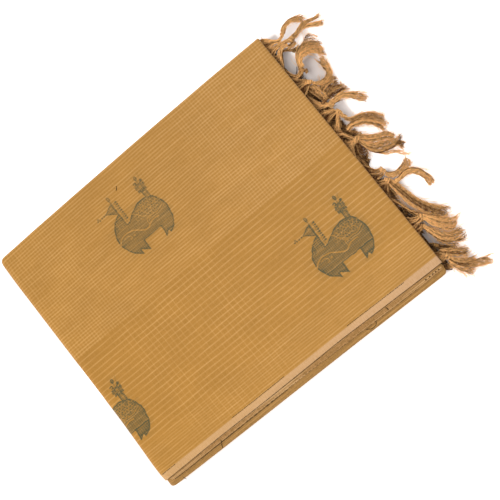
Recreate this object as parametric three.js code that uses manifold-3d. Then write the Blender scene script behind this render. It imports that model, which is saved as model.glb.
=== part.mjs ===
// A cotton saree folded into a flat packet, with its knotted fringe coming out at one end.
// Millimetres, +Z up. +X runs along the warp to the fringe and -Y is the side with the cut cloth's
// woven edges. The origin is under the middle of the top panel, on the face that the packet rests on.
//
// The width is folded twice, so a leaf has four plies: the top ply with the first woven edge, the
// ply with the second woven edge, and two plies joined by the first fold. The length is then folded
// over and over. The last fold is the round left end, where the outer leaf turns under the packet.

import * as THREE from 'three';
import { mergeVertices } from 'three/addons/utils/BufferGeometryUtils.js';
import Module from 'manifold-3d';

const wasm = await Module();
wasm.setup();

// The packet
const PANEL_LENGTH = 345;
const PANEL_WIDTH = 280;
const PACKET_HEIGHT = 18;
const SEAM_GAP = 0.3;

// Wall of each ply that shows, as modelled
const TOP_WALL = 1.2;
const SECOND_WALL = 1.0;
const FOLD_THICKNESS = 2.2;
const PALLU_WALL = 1.0;

// How far the second woven edge and the first fold stand out past the top ply's woven edge
const SECOND_OUT_LEFT = 3.5;
const SECOND_OUT_RIGHT = 5.0;
const FOLD_OUT_LEFT = 8.3;
const FOLD_OUT_RIGHT = 9.7;

// How far each ply stops short of the top ply's right fold
const SECOND_SHORT = 3.9;
const FOLD_SHORT = 2.2;
const FOLD_CORNER_RADIUS = 4.5;

// The rounded folds of the top ply
const BACK_FOLD_RADIUS = 2.5;
const RIGHT_FOLD_RADIUS = 2.0;

// How finely the curves are divided
const WRAP_STEPS = 10;
const BACK_FOLD_STEPS = 6;
const RIGHT_FOLD_STEPS = 2;
const STRAIGHT_STEPS = 4;
const NOSE_STEPS = 3;
const CORNER_STEPS = 3;

// The hidden layers: one row for each layer from the bottom up, with how far its folded edges
// stand out at the front, back and right
const HIDDEN_LAYERS = [
  { front: -147.0, back: 138.4, right: 170.6 },
  { front: -145.6, back: 139.2, right: 169.4 },
  { front: -147.8, back: 137.6, right: 171.2 },
];
const GROOVE_DEPTH = 1.5;
const SHOULDER_DEPTH = 0.4;
const SHOULDER_SHARE = 0.28;
const LAYER_CORNER_RADIUS = 4;

// The end piece of the saree, whose loose warp ends make the fringe
const PALLU_FRONT = -139;
const PALLU_BACK = 136.8;
const PALLU_LEFT = -140;

// The fringe
const STRAND_STEPS = 4;
const STRAND_SIDES = 3;
const STRAND_ROOT_RADIUS = 0.95;
const STRAND_TIP_RADIUS = 0.5;
const STRAND_STAGGER = 0.9;
const STRAND_SHORTEST = 0.84;
const STRAND_START = 0.05;
const KNOT_LENGTH = 7;
const KNOT_WIDTH = 5;
const KNOT_HEIGHT = 4.4;
const WEB_STEPS = 3;
const WEB_THICKNESS = 1.0;
const WEB_END_WIDTH = 2.4;
const FLOOR_GAP = 0.3;

// One row for each tassel, first those of the end piece from the back to the front, then those that
// come from lower leaves. edge is where its warp ends leave the cloth, and gather is the width of
// cloth edge that they come from. The tail runs from the knot by bend and reach to the tip, where it
// is fan wide.
const TASSEL_COLUMNS = ['root', 'edge', 'gather', 'knot', 'bend', 'reach', 'tip', 'fan', 'strands'];
const TASSEL_ROWS = [
  ['pallu', 128, 14, [193, 134, 10], [208, 137, 9], [222, 131, 7], [234, 122, 4], 5, 6],
  ['pallu', 111, 13, [197, 116, 9], [207, 121, 7], [218, 122, 4], [231, 114, 2], 6, 6],
  ['pallu', 88, 12, [185, 91, 9], [190, 101, 10], [203, 104, 8], [217, 95, 3], 16, 7],
  ['pallu', 72, 10, [183, 76, 8], [191, 68, 7], [202, 70, 4.5], [206, 85, 2], 5, 6],
  ['pallu', 58, 12, [184, 59, 9], [192, 57, 7.5], [201, 55, 5], [209, 52, 2.4], 15, 7],
  ['pallu', 41, 12, [186, 42, 11], [202, 42, 11], [211, 36, 8], [217, 26, 4], 7, 6],
  ['pallu', 25, 12, [187, 26, 9], [196, 20, 8], [208, 12, 6], [215, -2, 2.4], 8, 6],
  ['pallu', 3, 13, [183, 3, 10], [191, -5, 9], [203, -16, 6], [216, -29, 2.6], 18, 8],
  ['pallu', -27, 12, [184, -33, 10], [190, -39, 9], [201, -43, 6], [210, -41, 3], 5, 6],
  ['pallu', -43, 10, [184, -46, 9], [199, -52, 7], [209, -62, 4.5], [212, -77, 2.2], 6, 6],
  ['pallu', -58, 12, [180, -59, 8.5], [186, -74, 7.5], [196, -92, 5], [207, -107, 2.2], 13, 7],
  ['pallu', -88, 11, [184, -94, 10], [193, -106, 9], [203, -115, 6.5], [214, -122, 3.2], 11, 6],
  ['pallu', -104, 10, [180, -108, 8], [185, -119, 6.5], [194, -128, 4.5], [208, -136, 2.2], 12, 6],
  ['pallu', -134, 10, [178.5, -140, 8], [187, -149, 6.5], [197, -158, 4.5], [209, -167, 2.2], 17, 8],
  ['hidden', 102, 9, [179, 103, 4.5], [183, 109, 3.5], [187, 115, 2.8], [190, 122, 2], 7, 5],
  ['hidden', 44, 9, [178, 46, 4.5], [183, 46, 3.2], [190, 45, 2.4], [197, 43, 2], 8, 5],
  ['hidden', 12, 9, [179, 12, 4.5], [184, 10, 3.4], [191, 7, 2.6], [198, 3, 2], 8, 5],
  ['hidden', -14, 9, [178, -15, 4.5], [181, -21, 3.6], [184, -28, 2.8], [189, -33, 2], 8, 5],
  ['hidden', -78, 9, [177.5, -80, 4.5], [180, -87, 3.5], [182, -94, 2.7], [186, -101, 2], 7, 5],
  ['hidden', -121, 9, [177.5, -124, 4.5], [181, -129, 3.5], [186, -135, 2.7], [193, -140, 2], 7, 5],
];

const RIGHT = PANEL_LENGTH / 2;
const FRONT = -PANEL_WIDTH / 2;
const BACK = PANEL_WIDTH / 2;
const WRAP_RADIUS = PACKET_HEIGHT / 2;
const WRAP_CENTRE = WRAP_RADIUS - RIGHT;

// Depths of the plies under the packet's outer skin
const SECOND_DEPTH = TOP_WALL + SEAM_GAP;
const FOLD_DEPTH = SECOND_DEPTH + SECOND_WALL + SEAM_GAP;
const PALLU_DEPTH = FOLD_DEPTH + FOLD_THICKNESS + SEAM_GAP;
const HIDDEN_BOTTOM = PALLU_DEPTH;
const HIDDEN_TOP = PACKET_HEIGHT - PALLU_DEPTH - PALLU_WALL - SEAM_GAP;
const LAYER_HEIGHT = (HIDDEN_TOP - HIDDEN_BOTTOM) / HIDDEN_LAYERS.length;

// Where the warp ends start: at the edge of the end piece, or at the lowest hidden layer's fold
const ROOTS = {
  pallu: { x: RIGHT + SEAM_GAP, z: PACKET_HEIGHT - PALLU_DEPTH - PALLU_WALL / 2 },
  hidden: { x: HIDDEN_LAYERS[0].right + SEAM_GAP, z: HIDDEN_BOTTOM + LAYER_HEIGHT / 2 },
};

function clothMaterial(colour) {
  return new THREE.MeshStandardMaterial({ color: colour, roughness: 0.85, metalness: 0 });
}

const OCHRE_COTTON = clothMaterial(0xc4924a);
const SELVEDGE_COTTON = clothMaterial(0xd3a56c);
const BROWN_COTTON = clothMaterial(0xb68b50);
const FRINGE_COTTON = clothMaterial(0xbe8750);

// A closed triangle mesh from rings with the same number of points. Each end is closed by strips
// between the points that face each other across the ring, the first and the last, and so on.
function loft(rings) {
  const count = rings[0].length;
  const positions = rings.flat().flatMap((point) => [point.x, point.y, point.z]);
  const index = [];
  for (let ring = 0; ring + 1 < rings.length; ring += 1) {
    for (let i = 0; i < count; i += 1) {
      const a = ring * count + i;
      const b = ring * count + ((i + 1) % count);
      index.push(a, b, b + count, a, b + count, a + count);
    }
  }
  const last = (rings.length - 1) * count;
  for (let i = 0; i + 1 < count - 1 - i; i += 1) {
    const far = count - 1 - i;
    index.push(i + 1, i, far);
    index.push(last + i, last + i + 1, last + far);
    if (i + 1 < far - 1) {
      index.push(i + 1, far, far - 1);
      index.push(last + i + 1, last + far - 1, last + far);
    }
  }
  const geometry = new THREE.BufferGeometry();
  geometry.setAttribute('position', new THREE.Float32BufferAttribute(positions, 3));
  geometry.setIndex(index);
  return facingOut(geometry);
}

// Turns a closed mesh's faces outwards, whichever way its rings ran
function facingOut(geometry) {
  const index = geometry.getIndex().array;
  const position = geometry.getAttribute('position');
  const [a, b, c] = [new THREE.Vector3(), new THREE.Vector3(), new THREE.Vector3()];
  let volume = 0;
  for (let i = 0; i < index.length; i += 3) {
    a.fromBufferAttribute(position, index[i]);
    b.fromBufferAttribute(position, index[i + 1]);
    c.fromBufferAttribute(position, index[i + 2]);
    volume += a.dot(b.cross(c));
  }
  if (volume < 0) {
    for (let i = 0; i < index.length; i += 3) {
      [index[i + 1], index[i + 2]] = [index[i + 2], index[i + 1]];
    }
  }
  return geometry;
}

// The stations along the lengthwise path, from the top's right end over the round left end and back
// under the packet. At a station on a flat stretch, x is the place and drop is how far the ply has
// turned away from the skin, both for its outer and its inner side.
function flatStations(right, foldRadius, wall, onTop) {
  const stations = [];
  const innerRadius = Math.max(foldRadius - wall, 0);
  for (let step = 0; step < RIGHT_FOLD_STEPS && foldRadius > 0; step += 1) {
    const angle = (Math.PI / 2) * (1 - step / RIGHT_FOLD_STEPS);
    stations.push({
      onTop,
      x: [right - foldRadius * (1 - Math.sin(angle)), right - foldRadius + innerRadius * Math.sin(angle)],
      drop: [foldRadius * (1 - Math.cos(angle)), innerRadius * (1 - Math.cos(angle))],
    });
  }
  const start = right - foldRadius;
  for (let step = 0; step <= STRAIGHT_STEPS; step += 1) {
    const x = THREE.MathUtils.lerp(start, WRAP_CENTRE, step / STRAIGHT_STEPS);
    stations.push({ onTop, x: [x, x], drop: [0, 0] });
  }
  return stations;
}

function pathStations(right, foldRadius, wall) {
  const wrap = [];
  for (let step = 1; step < WRAP_STEPS; step += 1) {
    wrap.push({ turn: Math.PI * (0.5 + step / WRAP_STEPS) });
  }
  const under = flatStations(right, foldRadius, wall, false).reverse();
  return [...flatStations(right, foldRadius, wall, true), ...wrap, ...under];
}

// Where a section point lies at a station. side is 0 on the ply's outer skin and 1 on its inner one,
// and between them where the outer skin has turned under.
function pointAt(station, { y, depth, side }) {
  if (station.turn !== undefined) {
    const radius = WRAP_RADIUS - depth;
    const x = WRAP_CENTRE + radius * Math.cos(station.turn);
    return new THREE.Vector3(x, y, WRAP_RADIUS + radius * Math.sin(station.turn));
  }
  const down = depth + THREE.MathUtils.lerp(...station.drop, side);
  const x = THREE.MathUtils.lerp(...station.x, side);
  return new THREE.Vector3(x, y, station.onTop ? PACKET_HEIGHT - down : down);
}

function stationX(station) {
  return station.turn === undefined ? station.x[0] : WRAP_CENTRE;
}

// A ply that runs along the whole path. sectionAt gives its section at a place along X.
function wrappedPly(stations, sectionAt) {
  const rings = stations.map((station) => {
    const section = sectionAt(stationX(station));
    return section.map((corner) => pointAt(station, corner));
  });
  return loft(rings);
}

// The top ply: flat from its woven edge to the back, where it turns over as the back fold
function topSection() {
  const foldStart = BACK - BACK_FOLD_RADIUS;
  const outer = [];
  const inner = [];
  for (let step = 0; step <= STRAIGHT_STEPS; step += 1) {
    const y = THREE.MathUtils.lerp(FRONT, foldStart, step / STRAIGHT_STEPS);
    outer.push({ y, depth: 0, side: 0 });
    inner.push({ y, depth: TOP_WALL, side: 1 });
  }
  for (let step = 1; step <= BACK_FOLD_STEPS; step += 1) {
    const angle = (Math.PI * step) / BACK_FOLD_STEPS;
    const innerRadius = BACK_FOLD_RADIUS - TOP_WALL;
    outer.push({
      y: foldStart + BACK_FOLD_RADIUS * Math.sin(angle),
      depth: BACK_FOLD_RADIUS * (1 - Math.cos(angle)),
      side: Math.max(-Math.cos(angle), 0),
    });
    inner.push({
      y: foldStart + innerRadius * Math.sin(angle),
      depth: TOP_WALL + innerRadius * (1 - Math.cos(angle)),
      side: 1,
    });
  }
  return [...outer, ...inner.reverse()];
}

// How far along the packet a place is, from 0 at the left to 1 at the right
function alongShare(x) {
  return THREE.MathUtils.clamp((x + RIGHT) / PANEL_LENGTH, 0, 1);
}

function secondSection(x) {
  const front = FRONT - THREE.MathUtils.lerp(SECOND_OUT_LEFT, SECOND_OUT_RIGHT, alongShare(x));
  const back = BACK - BACK_FOLD_RADIUS;
  const top = SECOND_DEPTH;
  const bottom = SECOND_DEPTH + SECOND_WALL;
  return [
    { y: front, depth: top, side: 0 },
    { y: back, depth: top, side: 0 },
    { y: back, depth: bottom, side: 1 },
    { y: front, depth: bottom, side: 1 },
  ];
}

// The first fold: two plies pressed together, with a round nose and a round corner at the right
function foldSection(x) {
  const right = RIGHT - FOLD_SHORT;
  const intoCorner = Math.max(x - (right - FOLD_CORNER_RADIUS), 0);
  const cut = FOLD_CORNER_RADIUS - Math.sqrt(Math.max(FOLD_CORNER_RADIUS ** 2 - intoCorner ** 2, 0));
  const front = FRONT - THREE.MathUtils.lerp(FOLD_OUT_LEFT, FOLD_OUT_RIGHT, alongShare(x)) + cut;
  const back = BACK - BACK_FOLD_RADIUS - 1;
  const nose = FOLD_THICKNESS / 2;
  const section = [{ y: back, depth: FOLD_DEPTH, side: 0 }];
  for (let step = 0; step <= 2 * NOSE_STEPS; step += 1) {
    const angle = Math.PI * (0.5 + step / (2 * NOSE_STEPS));
    section.push({
      y: front + nose + nose * Math.cos(angle),
      depth: FOLD_DEPTH + nose - nose * Math.sin(angle),
      side: 0,
    });
  }
  section.push({ y: back, depth: FOLD_DEPTH + FOLD_THICKNESS, side: 0 });
  return section;
}

function foldStations() {
  const right = RIGHT - FOLD_SHORT;
  const stations = pathStations(right, 0, FOLD_THICKNESS);
  const corner = (onTop) => {
    const places = [];
    for (let step = 0; step < CORNER_STEPS; step += 1) {
      const x = right - FOLD_CORNER_RADIUS * (1 - Math.cos(((Math.PI / 2) * step) / CORNER_STEPS));
      places.push({ onTop, x: [x, x], drop: [0, 0] });
    }
    const x = right - FOLD_CORNER_RADIUS;
    places.push({ onTop, x: [x, x], drop: [0, 0] });
    return places;
  };
  return [...corner(true), ...stations.slice(1, -1), ...corner(false).reverse()];
}

// The outline of one level of the hidden layers, a rectangle with round corners
function layerOutline(left, right, front, back, z) {
  const points = [];
  const corners = [
    { x: right, y: back, start: 0 },
    { x: left, y: back, start: Math.PI / 2 },
    { x: left, y: front, start: Math.PI },
    { x: right, y: front, start: (3 * Math.PI) / 2 },
  ];
  const radius = LAYER_CORNER_RADIUS;
  for (const { x, y, start } of corners) {
    const centreX = x - Math.sign(x) * radius;
    const centreY = y - Math.sign(y) * radius;
    for (let step = 0; step <= CORNER_STEPS; step += 1) {
      const angle = start + ((Math.PI / 2) * step) / CORNER_STEPS;
      points.push(new THREE.Vector3(
        centreX + radius * Math.cos(angle),
        centreY + radius * Math.sin(angle),
        z,
      ));
    }
  }
  return points;
}

function hiddenLayers() {
  const wrapInside = WRAP_RADIUS - PALLU_DEPTH;
  const profile = [
    { share: 0, cut: GROOVE_DEPTH },
    { share: SHOULDER_SHARE, cut: SHOULDER_DEPTH },
    { share: 0.5, cut: 0 },
    { share: 1 - SHOULDER_SHARE, cut: SHOULDER_DEPTH },
  ];
  const rings = [];
  HIDDEN_LAYERS.forEach((layer, number) => {
    for (const { share, cut } of profile) {
      const z = HIDDEN_BOTTOM + (number + share) * LAYER_HEIGHT;
      const fromCentre = Math.min(Math.abs(z - WRAP_RADIUS), wrapInside);
      const left = WRAP_CENTRE - Math.sqrt(wrapInside ** 2 - fromCentre ** 2);
      rings.push(layerOutline(left + cut, layer.right - cut, layer.front + cut, layer.back - cut, z));
    }
  });
  const top = HIDDEN_LAYERS.at(-1);
  const left = WRAP_CENTRE - Math.sqrt(wrapInside ** 2 - (HIDDEN_TOP - WRAP_RADIUS) ** 2);
  rings.push(layerOutline(
    left + GROOVE_DEPTH,
    top.right - GROOVE_DEPTH,
    top.front + GROOVE_DEPTH,
    top.back - GROOVE_DEPTH,
    HIDDEN_TOP,
  ));
  return loft(rings);
}

function palluEnd() {
  const top = PACKET_HEIGHT - PALLU_DEPTH;
  const geometry = new THREE.BoxGeometry(RIGHT - PALLU_LEFT, PALLU_BACK - PALLU_FRONT, PALLU_WALL);
  geometry.translate((RIGHT + PALLU_LEFT) / 2, (PALLU_BACK + PALLU_FRONT) / 2, top - PALLU_WALL / 2);
  return weld(geometry);
}

function weld(geometry) {
  const bare = geometry.clone();
  bare.deleteAttribute('normal');
  bare.deleteAttribute('uv');
  return mergeVertices(bare);
}

function toSolid(geometry) {
  const { array } = geometry.getAttribute('position');
  return new wasm.Manifold(new wasm.Mesh({
    numProp: 3,
    vertProperties: new Float32Array(array),
    triVerts: new Uint32Array(geometry.getIndex().array),
  }));
}

function fuse(geometries) {
  const solid = geometries.map(toSolid).reduce((whole, piece) => whole.add(piece));
  const mesh = solid.getMesh();
  const geometry = new THREE.BufferGeometry();
  const points = new Float32Array((mesh.vertProperties.length / mesh.numProp) * 3);
  for (let i = 0; i < points.length / 3; i += 1) {
    points.set(mesh.vertProperties.subarray(i * mesh.numProp, i * mesh.numProp + 3), i * 3);
  }
  geometry.setAttribute('position', new THREE.Float32BufferAttribute(points, 3));
  geometry.setIndex(Array.from(mesh.triVerts));
  return geometry;
}

// The directions across a curve: level with the floor, and square to that and the curve
function acrossAt(tangent) {
  const level = new THREE.Vector3(-tangent.y, tangent.x, 0).normalize();
  const upward = new THREE.Vector3().crossVectors(tangent, level).normalize();
  return { level, upward };
}

// A strand of yarn: a thin three-sided bar that tapers along its points
function strand(points) {
  const rings = points.map((point, number) => {
    const before = points[Math.max(number - 1, 0)];
    const after = points[Math.min(number + 1, points.length - 1)];
    const { level, upward } = acrossAt(after.clone().sub(before).normalize());
    const share = number / (points.length - 1);
    const radius = THREE.MathUtils.lerp(STRAND_ROOT_RADIUS, STRAND_TIP_RADIUS, share);
    const ring = [];
    for (let side = 0; side < STRAND_SIDES; side += 1) {
      const angle = (2 * Math.PI * side) / STRAND_SIDES + Math.PI / 2;
      ring.push(point.clone()
        .addScaledVector(level, radius * Math.cos(angle))
        .addScaledVector(upward, radius * Math.sin(angle)));
    }
    return ring;
  });
  return loft(rings);
}

// The strands of a tail spread from the knot, in an upper and a lower row, and end unevenly
function tailStrands(row) {
  const middle = new THREE.CatmullRomCurve3(
    [row.knot, row.bend, row.reach, row.tip].map((place) => new THREE.Vector3(...place)),
  );
  const strands = [];
  for (let number = 0; number < row.strands; number += 1) {
    const across = (2 * number) / (row.strands - 1) - 1;
    const stagger = number % 2 === 0 ? STRAND_STAGGER : -STRAND_STAGGER;
    const unevenness = ((number * 5) % row.strands) / (row.strands - 1);
    const length = THREE.MathUtils.lerp(STRAND_SHORTEST, 1, unevenness);
    const points = [];
    for (let step = 0; step <= STRAND_STEPS; step += 1) {
      const share = THREE.MathUtils.lerp(STRAND_START, length, step / STRAND_STEPS);
      const point = middle.getPoint(share);
      const { level } = acrossAt(middle.getTangent(share));
      const width = THREE.MathUtils.lerp(KNOT_WIDTH / 2, row.fan, share);
      point.addScaledVector(level, (across * width) / 2);
      point.z += stagger * Math.min(3 * share, 1);
      point.z = Math.max(point.z, FLOOR_GAP + STRAND_ROOT_RADIUS);
      points.push(point);
    }
    strands.push(strand(points));
  }
  return strands;
}

// The warp ends between the cloth's edge and the knot, gathered to a point
function web(row) {
  const start = new THREE.Vector3(ROOTS[row.root].x, row.edge, ROOTS[row.root].z);
  const end = new THREE.Vector3(...row.knot);
  const rings = [];
  for (let step = 0; step <= WEB_STEPS; step += 1) {
    const share = step / WEB_STEPS;
    const centre = start.clone().lerp(end, share);
    const half = THREE.MathUtils.lerp(row.gather, WEB_END_WIDTH, Math.sqrt(share)) / 2;
    const thick = THREE.MathUtils.lerp(WEB_THICKNESS, 2 * WEB_THICKNESS, share) / 2;
    rings.push([
      new THREE.Vector3(centre.x, centre.y - half, centre.z - thick),
      new THREE.Vector3(centre.x, centre.y + half, centre.z - thick),
      new THREE.Vector3(centre.x, centre.y + half, centre.z + thick),
      new THREE.Vector3(centre.x, centre.y - half, centre.z + thick),
    ]);
  }
  return loft(rings);
}

// The knot: a wrapped head lying along the tail, with one turn of yarn round it
function knot(row) {
  const centre = new THREE.Vector3(...row.knot);
  const towards = new THREE.Vector3(...row.bend).sub(centre);
  const heading = Math.atan2(towards.y, towards.x);
  const head = weld(new THREE.SphereGeometry(0.5, 7, 5));
  head.scale(KNOT_LENGTH, KNOT_WIDTH, KNOT_HEIGHT);
  const turn = weld(new THREE.SphereGeometry(0.5, 6, 4));
  turn.scale(KNOT_LENGTH * 0.4, KNOT_WIDTH * 1.25, KNOT_HEIGHT * 1.2);
  turn.rotateZ(Math.PI / 8);
  return [head, turn].map((geometry) => {
    geometry.rotateZ(heading);
    geometry.translate(centre.x, centre.y, centre.z);
    return geometry;
  });
}

function tassel(row) {
  return fuse([...knot(row), web(row), ...tailStrands(row)]);
}

const saree = new THREE.Group();

function addNode(name, geometry, material) {
  const mesh = new THREE.Mesh(geometry, material);
  mesh.name = name;
  saree.add(mesh);
}

const topStations = pathStations(RIGHT, RIGHT_FOLD_RADIUS, TOP_WALL);
const secondStations = pathStations(RIGHT - SECOND_SHORT, 0, SECOND_WALL);
addNode('top_leaf', wrappedPly(topStations, topSection), OCHRE_COTTON);
addNode('second_selvedge', wrappedPly(secondStations, secondSection), SELVEDGE_COTTON);
addNode('first_fold', wrappedPly(foldStations(), foldSection), OCHRE_COTTON);
addNode('pallu_end', palluEnd(), BROWN_COTTON);
addNode('hidden_layers', hiddenLayers(), BROWN_COTTON);
TASSEL_ROWS.forEach((cells, number) => {
  const row = Object.fromEntries(TASSEL_COLUMNS.map((column, place) => [column, cells[place]]));
  addNode(`tassel_${String(number + 1).padStart(2, '0')}`, tassel(row), FRINGE_COTTON);
});

export default saree;
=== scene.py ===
"""Looks of a cotton saree folded into a flat packet, with its knotted fringe coming out at one end.

Every length in this file is in millimetres in the packet's own frame, and becomes metres where a mesh
is made. +X runs along the warp to the fringe, -Y is the side with the woven edges and +Z is up. The
cloth has two coordinates of its own: warp, the place along X with the outer leaf unrolled, and weft,
the place across the panel.
"""

from __future__ import annotations

import logging
import math
from dataclasses import dataclass, field
from enum import Enum
from functools import partial
from typing import Callable, Iterator, Sequence

import bmesh
import bpy
import numpy as np
from mathutils import Matrix, Vector

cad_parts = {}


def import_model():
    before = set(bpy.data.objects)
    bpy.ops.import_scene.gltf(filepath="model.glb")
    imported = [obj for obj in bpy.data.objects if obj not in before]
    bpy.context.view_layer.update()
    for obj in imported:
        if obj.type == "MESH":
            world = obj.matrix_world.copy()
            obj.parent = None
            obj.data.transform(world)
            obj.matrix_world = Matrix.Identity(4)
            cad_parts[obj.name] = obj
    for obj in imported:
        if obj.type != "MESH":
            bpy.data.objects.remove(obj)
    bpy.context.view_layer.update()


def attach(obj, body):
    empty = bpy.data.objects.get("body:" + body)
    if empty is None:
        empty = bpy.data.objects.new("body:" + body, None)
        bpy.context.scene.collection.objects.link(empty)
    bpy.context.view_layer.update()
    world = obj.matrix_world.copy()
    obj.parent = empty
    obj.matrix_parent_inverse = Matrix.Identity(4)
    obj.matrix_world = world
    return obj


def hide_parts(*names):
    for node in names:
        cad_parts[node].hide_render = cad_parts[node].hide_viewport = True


LOG = logging.getLogger("saree")
MM = 0.001
TURN = 2 * math.pi
BODY = "root"
WARP_UV = "cloth"
THREAD_ATTRIBUTE = "extra_weft"
TONE_ATTRIBUTE = "yarn_tone"
# The floor's glow, turned down in patches of painted shadow
GLOW_ATTRIBUTE = "paper_light"

Array = np.ndarray
Pair = tuple[float, float]
Triple = tuple[float, float, float]
Material = bpy.types.Material
Mesh = bpy.types.Mesh
Piece = bpy.types.Object
Socket = bpy.types.NodeSocket
Adder = Callable[..., Socket]


# Small tools

def linear_colour(code: str) -> tuple[float, float, float, float]:
    """Turns an sRGB hex colour to the linear colour that a shader takes.

    Args:
        code: Six hex digits.

    Returns:
        Linear red, green and blue, with alpha 1.
    """
    shares = [int(code[place:place + 2], 16) / 255 for place in (0, 2, 4)]
    linear = [s / 12.92 if s <= 0.04045 else ((s + 0.055) / 1.055) ** 2.4 for s in shares]
    return (linear[0], linear[1], linear[2], 1.0)


def smoothstep(low: float, high: float, value: Array) -> Array:
    """A soft step from 0 at low to 1 at high."""
    share = np.clip((np.asarray(value, float) - low) / (high - low), 0, 1)
    return share * share * (3 - 2 * share)


def through(places: Sequence[Pair], value: Array, steps: int = 400, reach: int = 20) -> Array:
    """A smooth line through a few (place, height) pairs, read at many places.

    Args:
        places: The pairs, in order.
        value: Where to read the line.
        steps: How many points the line is drawn with.
        reach: How many of them to each side the smoothing takes in.

    Returns:
        One height for each place read.
    """
    known = np.array(places)
    dense = np.linspace(known[0, 0], known[-1, 0], steps)
    heights = np.interp(dense, known[:, 0], known[:, 1])
    window = np.hanning(2 * reach + 1)
    soft = np.convolve(np.pad(heights, reach, mode="edge"), window / window.sum(), "valid")
    return np.interp(value, dense, soft)


@dataclass(frozen=True)
class Ripples:
    """A gentle uneven surface: a sum of slanting waves.

    Attributes:
        height: The greatest rise, roughly.
        longest: The longest wavelength.
        shortest: The shortest wavelength.
        seed: Fixes the waves.
        count: How many waves.
    """

    height: float
    longest: float
    shortest: float
    seed: int
    count: int = 7

    def at(self, x: Array, y: Array) -> Array:
        """The rise at each place.

        Args:
            x: Places along the warp.
            y: Places across it.

        Returns:
            One rise for each place.
        """
        chance = np.random.default_rng(self.seed)
        total = np.zeros(np.broadcast(x, y).shape)
        for _ in range(self.count):
            length = self.shortest * (self.longest / self.shortest) ** chance.random()
            heading = chance.uniform(0, math.pi)
            phase = chance.uniform(0, TURN)
            along = np.asarray(x) * math.cos(heading) + np.asarray(y) * math.sin(heading)
            total = total + np.sin(TURN * along / length + phase)
        return self.height * total / math.sqrt(self.count)


def curve_through(points: Sequence[Sequence[float]], steps: int) -> Array:
    """A Catmull-Rom curve through the points.

    Args:
        points: The points, two or more.
        steps: How many parts each stretch is cut in.

    Returns:
        One row for each point of the curve.
    """
    known = np.array(points, float)
    padded = np.vstack([2 * known[0] - known[1], known, 2 * known[-1] - known[-2]])
    rows = []
    for number in range(len(known) - 1):
        a, b, c, d = padded[number:number + 4]
        for step in range(steps):
            t = step / steps
            rows.append(0.5 * (2 * b + (c - a) * t + (2 * a - 5 * b + 4 * c - d) * t ** 2
                               + (3 * b - a - 3 * c + d) * t ** 3))
    rows.append(known[-1])
    return np.array(rows)


def grid_faces(columns: int, rows: int) -> list[tuple[int, int, int, int]]:
    """The faces of a grid whose points are numbered row by row."""
    return [(place, place + 1, place + 1 + columns, place + columns)
            for row in range(rows - 1) for place in range(row * columns, (row + 1) * columns - 1)]


def new_mesh(name: str, points: Array, faces: Sequence[Sequence[int]]) -> Mesh:
    """A mesh, in metres, of points in millimetres."""
    mesh = bpy.data.meshes.new(name)
    mesh.from_pydata(points * MM, [], faces)
    return mesh


def set_shares(mesh: Mesh, name: str, shares: Array) -> None:
    """Gives each point of a mesh a share from 0 to 1, which materials read by the name."""
    mesh.attributes.new(name, "FLOAT", "POINT").data.foreach_set("value", shares)


def set_cloth_places(mesh: Mesh, places: Array) -> None:
    """Gives a mesh the cloth's own coordinates, one row of two for each point."""
    corners = np.zeros(len(mesh.loops), dtype=np.int64)
    mesh.loops.foreach_get("vertex_index", corners)
    layer = mesh.uv_layers.new(name=WARP_UV)
    layer.data.foreach_set("uv", places[corners].astype(np.float32).ravel())


def make_object(name: str, mesh: Mesh, material: Material, slot: str,
                smooth: bool = True) -> Piece:
    """Puts a mesh in the scene as a piece that rides on the packet.

    Args:
        name: The piece's name.
        mesh: Its mesh, in metres.
        material: Its finish.
        slot: The record's material slot; not used.
        smooth: Whether its faces are shaded smooth.

    Returns:
        The new piece.
    """
    mesh.materials.append(material)
    mesh.polygons.foreach_set("use_smooth", [smooth] * len(mesh.polygons))
    piece = bpy.data.objects.new(name, mesh)
    bpy.context.collection.objects.link(piece)
    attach(piece, BODY)
    return piece


# The woven bird

@dataclass(frozen=True)
class Stroke:
    """A line of thread on the bird.

    Attributes:
        points: The points that it passes through.
        width: Its width.
        tone: How dark it is, from 0 for bare cloth to 1.
        curved: Whether it curves smoothly through its points.
    """

    points: tuple[Pair, ...]
    width: float
    tone: float
    curved: bool = True

    def lay(self, x: Array, y: Array, tones: Array) -> Array:
        """Draws the stroke over the tones.

        Args:
            x: Places across the bird.
            y: Places up the bird.
            tones: The tones so far.

        Returns:
            The tones with the stroke on them.
        """
        line = curve_through(self.points, 6) if self.curved else np.array(self.points)
        cover = 1 - smoothstep(self.width / 2 - 0.25, self.width / 2 + 0.3, line_distance(x, y, line))
        return tones * (1 - cover) + self.tone * cover


@dataclass(frozen=True)
class Patch:
    """A filled part of the bird.

    Attributes:
        outline: The points round its edge.
        tone: How dark it is.
        rim: How dark its rim is, or 0 for none.
        rim_width: The width of the rim.
    """

    outline: tuple[Pair, ...]
    tone: float
    rim: float = 0.0
    rim_width: float = 0.9

    def lay(self, x: Array, y: Array, tones: Array) -> Array:
        """Draws the patch over the tones, with the same arguments as Stroke.lay."""
        outline = np.array(self.outline)
        distance = line_distance(x, y, np.vstack([outline, outline[:1]]))
        within = inside(x, y, outline)
        signed = np.where(within, -distance, distance)
        cover = 1 - smoothstep(-0.3, 0.35, signed)
        tones = tones * (1 - cover) + self.tone * cover
        if self.rim:
            edge = 1 - smoothstep(self.rim_width / 2 - 0.2, self.rim_width / 2 + 0.3, np.abs(signed + 0.3))
            tones = tones * (1 - edge) + self.rim * edge
        return tones


@dataclass(frozen=True)
class Dot:
    """A round or oval spot of thread."""

    centre: Pair
    radii: Pair
    tone: float

    def lay(self, x: Array, y: Array, tones: Array) -> Array:
        """Draws the dot over the tones, with the same arguments as Stroke.lay."""
        reach = np.hypot((x - self.centre[0]) / self.radii[0], (y - self.centre[1]) / self.radii[1])
        cover = 1 - smoothstep(0.75, 1.3, reach)
        return tones * (1 - cover) + self.tone * cover


Mark = Stroke | Patch | Dot


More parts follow.
